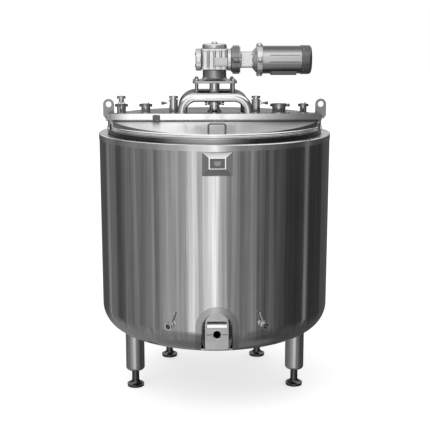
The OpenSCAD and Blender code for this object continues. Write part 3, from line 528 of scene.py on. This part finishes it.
def bead(bm, path, outwards, width, closed=True, ripple=0.16, uneven=0.05, flat=0.62, sides=7):
    """A rippled weld bead swept along path; outwards gives the way it stands at each point."""
    count = len(path)
    rings = []
    run = 0.0
    for i, point in enumerate(path):
        before = path[i - 1] if i or closed else point
        after = path[(i + 1) % count] if i < count - 1 or closed else point
        along = (after - before).normalized()
        across = along.cross(outwards[i]).normalized()
        out = across.cross(along).normalized()
        run += (point - before).length
        swell = 1 + ripple * math.sin(2 * math.pi * run / WELD_PITCH) + random.uniform(-uneven, uneven)
        ring = []
        for k in range(sides):
            angle = 2 * math.pi * k / sides
            off = across * math.cos(angle) * width * swell + out * math.sin(angle) * width * flat * swell
            ring.append(bm.verts.new(point + off))
        rings.append(ring)
    last = count if closed else count - 1
    for i in range(last):
        a, b = rings[i], rings[(i + 1) % count]
        for k in range(sides):
            bm.faces.new((a[k], a[(k + 1) % sides], b[(k + 1) % sides], b[k]))
    if not closed:
        bm.faces.new(rings[0])
        bm.faces.new(rings[-1])


def ring_bead(bm, centre, axis, radius, width=0.0028):
    """A weld bead round a tube that stands on a flat face."""
    place = facing(centre, axis)
    count = max(int(2 * math.pi * radius / WELD_STEP), 40)
    path = []
    outwards = []
    for i in range(count):
        angle = 2 * math.pi * i / count
        flat = Vector((math.cos(angle), math.sin(angle), 0))
        path.append(place @ (flat * radius))
        outwards.append((place.to_3x3() @ (flat + Vector((0, 0, 1)))).normalized())
    bead(bm, path, outwards, width)


def lathe(bm, place, profile, steps=40):
    """Turns (radius, height) points round the local Z axis of place; a radius of zero closes an end."""
    rings = []
    for radius, height in profile:
        if radius < 1e-7:
            rings.append([bm.verts.new(place @ Vector((0, 0, height)))])
            continue
        rings.append(
            [
                bm.verts.new(
                    place
                    @ Vector(
                        (
                            radius * math.cos(2 * math.pi * i / steps),
                            radius * math.sin(2 * math.pi * i / steps),
                            height,
                        )
                    )
                )
                for i in range(steps)
            ]
        )
    for a, b in zip(rings, rings[1:]):
        for i in range(steps):
            j = (i + 1) % steps
            if len(a) == 1 and len(b) == 1:
                continue
            if len(a) == 1:
                bm.faces.new((a[0], b[i], b[j]))
            elif len(b) == 1:
                bm.faces.new((a[i], a[j], b[0]))
            else:
                bm.faces.new((a[i], a[j], b[j], b[i]))


def hex_bolt(bm, place, across, height, washer=True):
    """A hexagon head with a domed top on a washer, standing on the local Z axis of place."""
    z = 0.0
    if washer:
        t = across * 0.12
        lathe(bm, place, [(0, 0), (across * 0.98, 0), (across, t * 0.3), (across * 0.98, t), (0, t)], 28)
        z = t
    corner = across / math.sqrt(3)
    levels = [(corner, z), (corner, z + height * 0.82), (corner * 0.9, z + height), (0, z + height * 1.02)]
    lathe(bm, place, levels, 6)


def cap_screw(bm, place, head_r, height):
    """A socket cap screw: a plain round head with a sunk socket."""
    lathe(
        bm,
        place,
        [
            (0, 0),
            (head_r, 0),
            (head_r, height * 0.85),
            (head_r * 0.88, height),
            (head_r * 0.55, height),
            (head_r * 0.5, height * 0.4),
            (0, height * 0.4),
        ],
        24,
    )


def slab(bm, place, w, h, t, corner, steps=6):
    """A plate with rounded corners and softened edges; its back lies on the local XY plane."""
    outline = []
    for cx, cy, start in ((1, 1, 0), (-1, 1, 90), (-1, -1, 180), (1, -1, 270)):
        for k in range(steps + 1):
            angle = math.radians(start + 90 * k / steps)
            outline.append(
                (
                    cx * (w / 2 - corner) + corner * math.cos(angle),
                    cy * (h / 2 - corner) + corner * math.sin(angle),
                )
            )
    soft = min(t * 0.35, corner * 0.6)
    rings = []
    for inset, z in ((0.0, 0.0), (0.0, t - soft), (soft, t)):
        ring = []
        for x, y in outline:
            fx = (w / 2 - inset) / (w / 2)
            fy = (h / 2 - inset) / (h / 2)
            ring.append(bm.verts.new(place @ Vector((x * fx, y * fy, z))))
        rings.append(ring)
    n = len(outline)
    for a, b in zip(rings, rings[1:]):
        for i in range(n):
            j = (i + 1) % n
            bm.faces.new((a[i], a[j], b[j], b[i]))
    bm.faces.new(rings[0][::-1])
    bm.faces.new(rings[-1])


def sharp_edges(obj, degrees=35):
    """Keeps the creases of a smooth-shaded piece crisp."""
    mesh = obj.data
    bm = bmesh.new()
    bm.from_mesh(mesh)
    limit = math.radians(degrees)
    for edge in bm.edges:
        if len(edge.link_faces) == 2 and edge.calc_face_angle(0) > limit:
            edge.smooth = False
    bm.to_mesh(mesh)
    bm.free()
    return obj


# ---------------------------------------------------------------- welds

# (x, tube radius) of each ferrule; they stand on one line across the deck
FERRULES = ((-0.528, 0.0255), (-0.390, 0.0255), (0.368, 0.038), (0.507, 0.019))
FERRULE_Y = 0.038
RELIEF_X = (-0.231, 0.234)
RELIEF_R = 0.030
SEAL_FLANGE_R = 0.054
COCK_ANGLE = math.radians(21.9)
COCK_R = 0.0185
OUTSIDE_TUBE = 0.001  # how far a bead's middle lies outside the tube it closes


def weld_bridges(bm):
    """Where the bent tubes of the bridges stand on the deck."""
    for node in ("bridge_front", "bridge_rear"):
        low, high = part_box(node)
        tube_r = (high.y - low.y) / 2
        for x in (low.x + tube_r, high.x - tube_r):
            foot = Vector((x, (low.y + high.y) / 2, low.z))
            ring_bead(bm, foot, UP, tube_r + OUTSIDE_TUBE, 0.0032)


def weld_deck_fittings(bm):
    """Round the ferrules, the relief valves and the shaft seal."""
    for x, tube_r in FERRULES:
        ring_bead(bm, Vector((x, FERRULE_Y, DECK_Z)), UP, tube_r + OUTSIDE_TUBE)
    for x in RELIEF_X:
        ring_bead(bm, Vector((x, 0, DECK_Z)), UP, RELIEF_R)
    ring_bead(bm, Vector((0, 0, DECK_Z)), UP, SEAL_FLANGE_R)


def weld_cocks(bm):
    """Round each sample cock, on the curved shell."""
    cock_z = centre_of("sample_cocks").z
    steps = 90
    for side in (-1, 1):
        outward = Vector((side * math.sin(COCK_ANGLE), -math.cos(COCK_ANGLE), 0))
        across = Vector((math.cos(COCK_ANGLE), side * math.sin(COCK_ANGLE), 0))
        path = []
        for i in range(steps):
            a = 2 * math.pi * i / steps
            flat = across * math.cos(a) * COCK_R
            drop = SHELL_R - math.sqrt(SHELL_R**2 - (COCK_R * math.cos(a)) ** 2)
            height = Vector((0, 0, cock_z + COCK_R * math.sin(a)))
            path.append(outward * (SHELL_R - drop) + flat + height)
        bead(bm, path, [outward] * len(path), 0.0028)


def weld_legs(bm):
    """Where each leg passes into the rounded underside."""
    steps = 180
    for node in [n for n in nodes if n.startswith("foot_plate_")]:
        foot = centre_of(node)
        path = []
        outwards = []
        for i in range(steps):
            a = 2 * math.pi * i / steps
            x = foot.x + (LEG_R + 0.0008) * math.cos(a)
            y = foot.y + (LEG_R + 0.0008) * math.sin(a)
            path.append(Vector((x, y, knuckle_height(x, y))))
            outwards.append(Vector((math.cos(a), math.sin(a), -1)).normalized())
        bead(bm, path, outwards, 0.0030)


def weld_nameplate_holder(bm):
    """Round the foot of the nameplate holder, which lies on the curved shell."""
    low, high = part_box("nameplate_holder")
    half_w = (high.x - low.x) / 2
    path = []
    corners = [(-half_w, low.z), (half_w, low.z), (half_w, high.z), (-half_w, high.z)]
    for (x0, z0), (x1, z1) in zip(corners, corners[1:] + corners[:1]):
        steps = int(math.hypot(x1 - x0, z1 - z0) / WELD_STEP)
        for i in range(steps):
            t = i / steps
            x = x0 + (x1 - x0) * t
            path.append(Vector((x, -math.sqrt(SHELL_R**2 - x * x), z0 + (z1 - z0) * t)))
    bead(bm, path, [Vector((p.x, p.y, 0)).normalized() for p in path], 0.0018, ripple=0.1)


def weld_lugs(bm):
    """At the foot of each lifting lug, before and behind it."""
    low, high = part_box("lifting_lugs")
    steps = 40
    for side in (-1, 1):
        for y in (low.y, high.y):
            x_in = side * (high.x - 0.060)
            x_out = side * (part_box("rear_deck")[1].x - 0.008)
            path = [Vector((x_in + (x_out - x_in) * i / steps, y, DECK_Z)) for i in range(steps + 1)]
            outward = Vector((0, 1 if y > -0.1 else -1, 1)).normalized()
            bead(bm, path, [outward] * len(path), 0.0026, closed=False)


seams = bmesh.new()
weld_bridges(seams)
weld_deck_fittings(seams)
weld_cocks(seams)
weld_legs(seams)
weld_nameplate_holder(seams)
weld_lugs(seams)
put(seams, "weld_beads", WELD, "tank")

# ---------------------------------------------------------------- hinge line and rim of the lid


def rod(bm, start, end, radius, sides=16, steps=60):
    """A straight round rod with closed, slightly rounded ends."""
    along = end - start
    place = facing(start, along)
    profile = [(0, 0), (radius * 0.8, 0), (radius, radius * 0.3)]
    profile += [(radius, along.length * i / steps) for i in range(1, steps)]
    profile += [(radius, along.length - radius * 0.3), (radius * 0.8, along.length), (0, along.length)]
    lathe(bm, place, profile, sides)


HINGE = Vector(joints["lid_hinge"]["pos_m"])
HINGE_RUN = Vector((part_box("front_lid")[1].x - 0.004, 0, 0))


def make_hinge_tube():
    """The rolled tube along the lid's straight edge."""
    bm = bmesh.new()
    at = HINGE + Vector((0, -0.0015, 0.0040))
    rod(bm, at - HINGE_RUN, at + HINGE_RUN, 0.0055)
    put(bm, "hinge_tube", FINISH["beam_steel"], "lid")


def make_shadow_line(name, at, radius):
    """A thin black strip along the hinge, painted shadow in a gap beside the hinge tube or under the beam's lip.
    """
    bm = bmesh.new()
    rod(bm, at - HINGE_RUN, at + HINGE_RUN, radius, 8)
    put(bm, name, FINISH["foot_rubber"], "tank")


def rim_arc(radius, z):
    """Points along the lid's curved front, and the way outwards at each."""
    steps = 360
    angles = [math.radians(-67 + 134 * i / steps) for i in range(steps + 1)]
    path = [Vector((radius * math.sin(a), -radius * math.cos(a), z)) for a in angles]
    return path, [Vector((p.x, p.y, 0)).normalized() for p in path]


def make_rim_lip():
    """The rolled rim's polished skin and its turned-down lip, in front of the gasket, in the near-white lever
    steel: a painted highlight.
    """
    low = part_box("front_lid")[0]
    bm = bmesh.new()
    path, outwards = rim_arc(-low.y - 0.0040, low.z - 0.0005)
    bead(bm, path, outwards, 0.0052, False, 0, 0)
    path, outwards = rim_arc(-low.y - 0.0075, low.z + 0.0075)
    bead(bm, path, outwards, 0.0078, False, 0, 0, flat=1.0, sides=18)
    put(bm, "rim_lip", FINISH["lever_steel"], "lid")


make_hinge_tube()
# painted shadow beside the hinge tube
make_shadow_line("hinge_shadow_line", HINGE + Vector((0, -0.0087, 0.0062)), 0.0017)
make_rim_lip()
BEAM_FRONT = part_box("cross_beam")[0].y
# painted shadow under the beam's lip
make_shadow_line("beam_shadow_line", Vector((0, BEAM_FRONT + 0.0042, HINGE.z + 0.0108)), 0.0012)

# ---------------------------------------------------------------- castings with soft edges


def recast(node, name, voxel, passes):
    """A casting's own soft-edged form, made from the plain CAD solid that it stands for."""
    mesh = nodes[node].data.copy()
    mesh.name = name
    obj = bpy.data.objects.new(name, mesh)
    bpy.context.scene.collection.objects.link(obj)
    remesh = obj.modifiers.new("skin", "REMESH")
    remesh.mode = "VOXEL"
    remesh.voxel_size = voxel
    remesh.use_smooth_shade = True
    smooth = obj.modifiers.new("soft edges", "SMOOTH")
    smooth.factor = 0.5
    smooth.iterations = passes
    dress(obj, FINISH[NODE_FINISH.get(node, SLOT_OF[node])])
    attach(obj, "tank")
    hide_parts(node)
    return obj


recast("lantern", "lantern_casting", 0.0024, 4)
recast("gear_housing", "gear_housing_casting", 0.0024, 4)
recast("gear_covers", "gear_cover_castings", 0.0020, 3)
recast("motor_adapter", "motor_adapter_casting", 0.0024, 4)

# ---------------------------------------------------------------- small parts of the drive

MOTOR_AXIS = Vector((0, joints["motor_spin"]["pos_m"][1], joints["motor_spin"]["pos_m"][2]))
MOTOR_X0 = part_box("motor_frame")[0].x
FAN_X0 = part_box("fan_cover")[0].x
ADAPTER_X0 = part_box("motor_adapter")[0].x
HOUSE_LOW, HOUSE_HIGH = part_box("gear_housing")
MOTOR_BOLT_R = 0.082
ADAPTER_BOLT_R = 0.065
TOP_COVER_BOLT_R = 0.0615
SEAL_BOLT_R = 0.044
FAN_SCREW_R = 0.0785
GROOVE_R = 0.0758


def around_motor(x, radius, degrees):
    a = math.radians(degrees)
    return Vector((x, MOTOR_AXIS.y + radius * math.sin(a), MOTOR_AXIS.z + radius * math.cos(a)))


def make_drive_bolts():
    """Bolts of the motor flange, the gear side of the adapter, the top cover and the shaft seal."""
    bm = bmesh.new()
    for degrees in range(0, 360, 90):
        before = around_motor(MOTOR_X0 - 0.024, MOTOR_BOLT_R, degrees)
        behind = around_motor(MOTOR_X0 - 0.008, MOTOR_BOLT_R, degrees)
        hex_bolt(bm, facing(before, -RIGHT), 0.013, 0.007)
        hex_bolt(bm, facing(behind, RIGHT), 0.013, 0.008)
    for degrees in range(0, 360, 90):
        spot = around_motor(ADAPTER_X0 + 0.042, ADAPTER_BOLT_R, degrees)
        hex_bolt(bm, facing(spot, RIGHT), 0.014, 0.008)
    sixths = [math.radians(30 + 60 * i) for i in range(6)]
    for a in sixths:
        x, y = TOP_COVER_BOLT_R * math.cos(a), TOP_COVER_BOLT_R * math.sin(a)
        cap_screw(bm, facing(Vector((x, y, HOUSE_HIGH.z + 0.016)), UP), 0.0045, 0.0045)
    for a in sixths:
        x, y = SEAL_BOLT_R * math.cos(a), SEAL_BOLT_R * math.sin(a)
        hex_bolt(bm, facing(Vector((x, y, DECK_Z + 0.012)), UP), 0.0085, 0.005)
    sharp_edges(put(bm, "drive_bolts", FINISH["clamp_steel"], "tank"))


def make_fan_cover_screws():
    bm = bmesh.new()
    for degrees in (45, 135, 225, 315):
        a = math.radians(degrees)
        outward = Vector((0, math.sin(a), math.cos(a)))
        spot = around_motor(FAN_X0 + 0.012, FAN_SCREW_R, degrees)
        cap_screw(bm, facing(spot, outward), 0.0045, 0.003)
    sharp_edges(put(bm, "fan_cover_screws", FINISH["clamp_steel"], "tank"))


def make_groove_shadows():
    """Black lines laid in the grooves along the motor, painted shadow in the grooves; degrees are turned back from
    straight down.
    """
    bm = bmesh.new()
    for degrees, line_r in ((250, 0.0009), (278, 0.0019)):
        a = math.radians(degrees)
        spot = MOTOR_AXIS + Vector((0, GROOVE_R * math.sin(a), -GROOVE_R * math.cos(a)))
        start = Vector((MOTOR_X0 + 0.037, spot.y, spot.z))
        rod(bm, start, Vector((FAN_X0 - 0.006, spot.y, spot.z)), line_r, 8)
    put(bm, "motor_groove_shadows", FINISH["foot_rubber"], "tank")


make_drive_bolts()
make_fan_cover_screws()
make_groove_shadows()

# ---------------------------------------------------------------- outlet block and beam ends

BLOCK_LOW, BLOCK_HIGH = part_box("outlet_block_upper")
SPLIT_Z = (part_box("outlet_block_lower")[1].z + BLOCK_LOW.z) / 2
BORE_R = size_of("outlet_pipe").x / 2


def make_block_top_edge():
    """The slope along the block's top front edge, in the near-white lever steel: a painted highlight."""
    slope_run = 0.011
    rise = 0.012
    section = [(0.0004, -0.001), (0.0004 + slope_run, rise), (0.030, rise), (0.030, -0.001)]
    bm = bmesh.new()
    ends = []
    for x in (BLOCK_LOW.x + 0.003, BLOCK_HIGH.x - 0.003):
        ends.append([bm.verts.new((x, BLOCK_LOW.y + y, BLOCK_HIGH.z + z)) for y, z in section])
    for i in range(4):
        j = (i + 1) % 4
        bm.faces.new((ends[0][i], ends[0][j], ends[1][j], ends[1][i]))
    bm.faces.new(ends[0])
    bm.faces.new(ends[1][::-1])
    put(bm, "block_top_highlight", FINISH["lever_steel"], "tank", smooth=False)


def make_block_split_seal():
    """A thin black strip along the split between the two halves of the block, either side of the bore: painted
    shadow in the joint's gap.
    """
    inner = BORE_R + 0.004
    run = (BLOCK_HIGH.x - BLOCK_LOW.x) / 2 - inner - 0.001
    bm = bmesh.new()
    for side in (-1, 1):
        spot = Vector((side * (inner + run / 2), BLOCK_LOW.y + 0.0006, SPLIT_Z))
        slab(bm, facing(spot, FRONT), run, 0.0036, 0.0008, 0.0005)
    put(bm, "block_split_shadow", FINISH["foot_rubber"], "tank", smooth=False)


# The bore's lip, in the near-white lever steel whose tone is a painted highlight.
def make_bore_lip():
    bm = bmesh.new()
    profile = [
        (BORE_R - 0.001, -0.004),
        (BORE_R + 0.0005, 0.0006),
        (BORE_R + 0.0028, 0.0012),
        (BORE_R + 0.0032, 0),
    ]
    lathe(bm, facing(Vector((0, BLOCK_LOW.y, SPLIT_Z)), FRONT), profile, 64)
    put(bm, "bore_lip", FINISH["lever_steel"], "tank")


def make_beam_end_caps():
    """Caps that close the beam; the left one stands out further than the right one."""
    low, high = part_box("cross_beam")
    under = HINGE.z + 0.0085
    mid_y = (low.y + high.y) / 2
    mid_z = (under + BEAM_Z) / 2
    width = high.y - low.y - 0.001
    height = BEAM_Z - under - 0.001
    bm = bmesh.new()
    for side, length in ((-1, 0.020), (1, 0.006)):
        spot = Vector((side * (high.x - 0.001), mid_y, mid_z))
        slab(bm, facing(spot, RIGHT * side), width, height, length, 0.004)
    sharp_edges(put(bm, "beam_end_caps", FINISH["beam_steel"], "tank"))


make_block_top_edge()
make_block_split_seal()
make_bore_lip()
make_beam_end_caps()

# ---------------------------------------------------------------- blank plates


def make_blank_plates():
    """The tag on the beam and the plate on the gear housing, both without any writing."""
    bm = bmesh.new()
    tag_spot = Vector((-0.320, BEAM_FRONT + 0.0048, BEAM_Z - 0.019))
    slab(bm, facing(tag_spot, FRONT), 0.040, 0.024, 0.0012, 0.002)
    house_front = Vector((0.034, HOUSE_LOW.y + 0.0005, HOUSE_LOW.z + 0.043))
    slab(bm, facing(house_front, FRONT), 0.068, 0.048, 0.0012, 0.002)
    sharp_edges(put(bm, "blank_plates", FINISH["motor_metal"], "tank"))


def make_nameplate_fields():
    """Raised blank bars on the nameplate, where a maker would put data."""
    middle = centre_of("nameplate")
    plate_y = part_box("nameplate")[0].y + 0.0012
    bm = bmesh.new()
    for z, w in ((0.0085, 0.036), (0.003, 0.030), (-0.0025, 0.036), (-0.008, 0.024)):
        spot = Vector((middle.x, plate_y, middle.z + z))
        slab(bm, facing(spot, FRONT), w, 0.0028, 0.0006, 0.0008)
    sharp_edges(put(bm, "nameplate_blank_fields", FINISH["block_steel"], "tank"))


make_blank_plates()
make_nameplate_fields()

# ---------------------------------------------------------------- floor, light and camera


def make_floor():
    reach = 40.0
    corners = [(-reach, -reach, 0), (reach, -reach, 0), (reach, reach, 0), (-reach, reach, 0)]
    mesh = bpy.data.meshes.new("floor")
    mesh.from_pydata(corners, [], [(0, 1, 2, 3)])
    floor = bpy.data.objects.new("floor", mesh)
    bpy.context.scene.collection.objects.link(floor)
    pale, w, shader, place = start_material("pale_floor")
    tint = w.noise(place, 1.4, detail=2.0)
    w.feed(shader.inputs["Base Color"], w.mix(tint, grey(0.41), grey(0.43)))
    w.feed(shader.inputs["Emission Color"], w.mix(tint, grey(0.99), grey(1.0)))
    shader.inputs["Emission Strength"].default_value = 0.64
    shader.inputs["Roughness"].default_value = 0.9
    shader.inputs["Specular IOR Level"].default_value = 0.0
    dress(floor, pale)
    floor.visible_glossy = False


make_floor()

# (middle, width, softness, brightness) of each light panel or dark flag round the studio,
# in degrees from the front, to the right
PANELS = (
    (-165, 30, 20, -0.04),
    (-133, 5, 5, 0.24),
    (-110, 12, 8, -0.12),
    (-86, 5, 5, 0.10),
    (-66, 6, 5, 0.15),
    (-40, 30, 8, 0.28),
    (-22.5, 8, 3, 0.74),
    (-8, 20, 5, 0.62),
    (-5, 10, 8, 0.15),
    (-0.5, 5, 4, 0.60),
    (5, 10, 8, 0.45),
    (14, 14, 10, 0.18),
    (36, 7, 6, 0.20),
    (45, 5, 5, 0.08),
    (56, 5, 4, 0.12),
    (66, 12, 8, 0.05),
    (101.5, 5, 4, 0.26),
    (150, 24, 10, 0.10),
)
# brightness between the panels on either side, of the screen behind, of the ceiling and of the floor
LEFT_LEVEL = 0.20
RIGHT_LEVEL = 0.045
BEHIND_LOW = 0.09
BEHIND = 1.05
CEILING = 1.20
ZENITH = 0.75
BELOW_LEFT = 0.27
BELOW_RIGHT = 0.085
NADIR = 0.20


def make_studio():
    world = bpy.data.worlds.new("studio")
    bpy.context.scene.world = world
    world.use_nodes = True
    world.node_tree.nodes.clear()
    w = Wiring(world.node_tree)
    way = w.node("ShaderNodeTexCoord").outputs["Generated"]
    split = w.node("ShaderNodeSeparateXYZ")
    w.feed(split.inputs[0], way)
    x, y, z = split.outputs
    turn = w.math("DEGREES", w.math("ARCTAN2", x, w.math("MULTIPLY", y, -1.0)))
    level = w.span(turn, 20.0, 70.0, LEFT_LEVEL, RIGHT_LEVEL, smooth=True)
    for middle, width, soft, bright in PANELS:
        off = w.math("WRAP", w.math("SUBTRACT", turn, float(middle)), 180.0, -180.0)
        away = w.math("ABSOLUTE", off)
        inner = max(width / 2 - soft / 2, 0.0)
        lit = w.span(away, inner, width / 2 + soft / 2, bright, 0.0, smooth=True)
        level = w.math("ADD", level, lit)
    # behind the tank a wide screen, above it a ceiling, below it the pale floor
    behind = w.span(y, 0.55, 0.80, 0.0, 1.0, smooth=True)
    screen = w.span(z, 0.09, 0.23, BEHIND_LOW, BEHIND, smooth=True)
    ceiling = w.span(z, 0.45, 0.62, 0.0, 1.0, smooth=True)
    zenith = w.span(z, 0.86, 0.97, CEILING, ZENITH, smooth=True)
    below = w.span(z, -0.28, -0.55, 0.0, 1.0, smooth=True)
    floor_tone = w.span(turn, 5.0, 75.0, BELOW_LEFT, BELOW_RIGHT, smooth=True)
    straight_down = w.span(z, -0.80, -0.95, 0.0, 1.0, smooth=True)
    change = w.math("MULTIPLY", straight_down, w.math("SUBTRACT", NADIR, floor_tone))
    underneath = w.math("ADD", floor_tone, change)
    for share, value in ((behind, screen), (ceiling, zenith), (below, underneath)):
        kept = w.math("MULTIPLY", level, w.math("SUBTRACT", 1.0, share))
        level = w.math("ADD", kept, w.math("MULTIPLY", share, value))
    shine = w.node("ShaderNodeBackground")
    w.feed(shine.inputs["Strength"], level)
    shine.inputs["Color"].default_value = (1, 1, 1, 1)
    soft_light = w.node("ShaderNodeBackground")
    soft_light.inputs["Color"].default_value = (1, 1, 1, 1)
    soft_light.inputs["Strength"].default_value = 1.15
    backdrop = w.node("ShaderNodeBackground")
    backdrop.inputs["Color"].default_value = (1, 1, 1, 1)
    backdrop.inputs["Strength"].default_value = 1.0
    path = w.node("ShaderNodeLightPath")
    by_gloss = w.node("ShaderNodeMixShader")
    w.feed(by_gloss.inputs[0], path.outputs["Is Glossy Ray"])
    w.feed(by_gloss.inputs[1], soft_light.outputs[0])
    w.feed(by_gloss.inputs[2], shine.outputs[0])
    seen = w.node("ShaderNodeMixShader")
    w.feed(seen.inputs[0], path.outputs["Is Camera Ray"])
    w.feed(seen.inputs[1], by_gloss.outputs[0])
    w.feed(seen.inputs[2], backdrop.outputs[0])
    leave = w.node("ShaderNodeOutputWorld")
    w.feed(leave.inputs["Surface"], seen.outputs[0])


make_studio()


def make_key_light():
    key = bpy.data.lights.new("soft_key", "AREA")
    key.energy = 90
    key.size = 3.0
    key_obj = bpy.data.objects.new("soft_key", key)
    key_obj.location = (-2.2, -3.0, 4.6)
    key_obj.rotation_euler = (TANK_MID - key_obj.location).to_track_quat("-Z", "Y").to_euler()
    key_obj.visible_glossy = False
    bpy.context.scene.collection.objects.link(key_obj)


def make_camera():
    camera = bpy.data.cameras.new("camera")
    camera.sensor_width = 36.0
    camera.lens = 76.7
    camera.shift_x = 0.0012
    camera.shift_y = 0.0023
    camera.clip_end = 200
    camera_obj = bpy.data.objects.new("camera", camera)
    camera_obj.location = (-0.109, -5.199, 2.023)
    camera_obj.rotation_euler = (math.radians(90 - 11.29), 0, math.radians(-1.2))
    bpy.context.scene.collection.objects.link(camera_obj)
    bpy.context.scene.camera = camera_obj


make_key_light()
make_camera()
bpy.context.scene.view_settings.view_transform = "Standard"
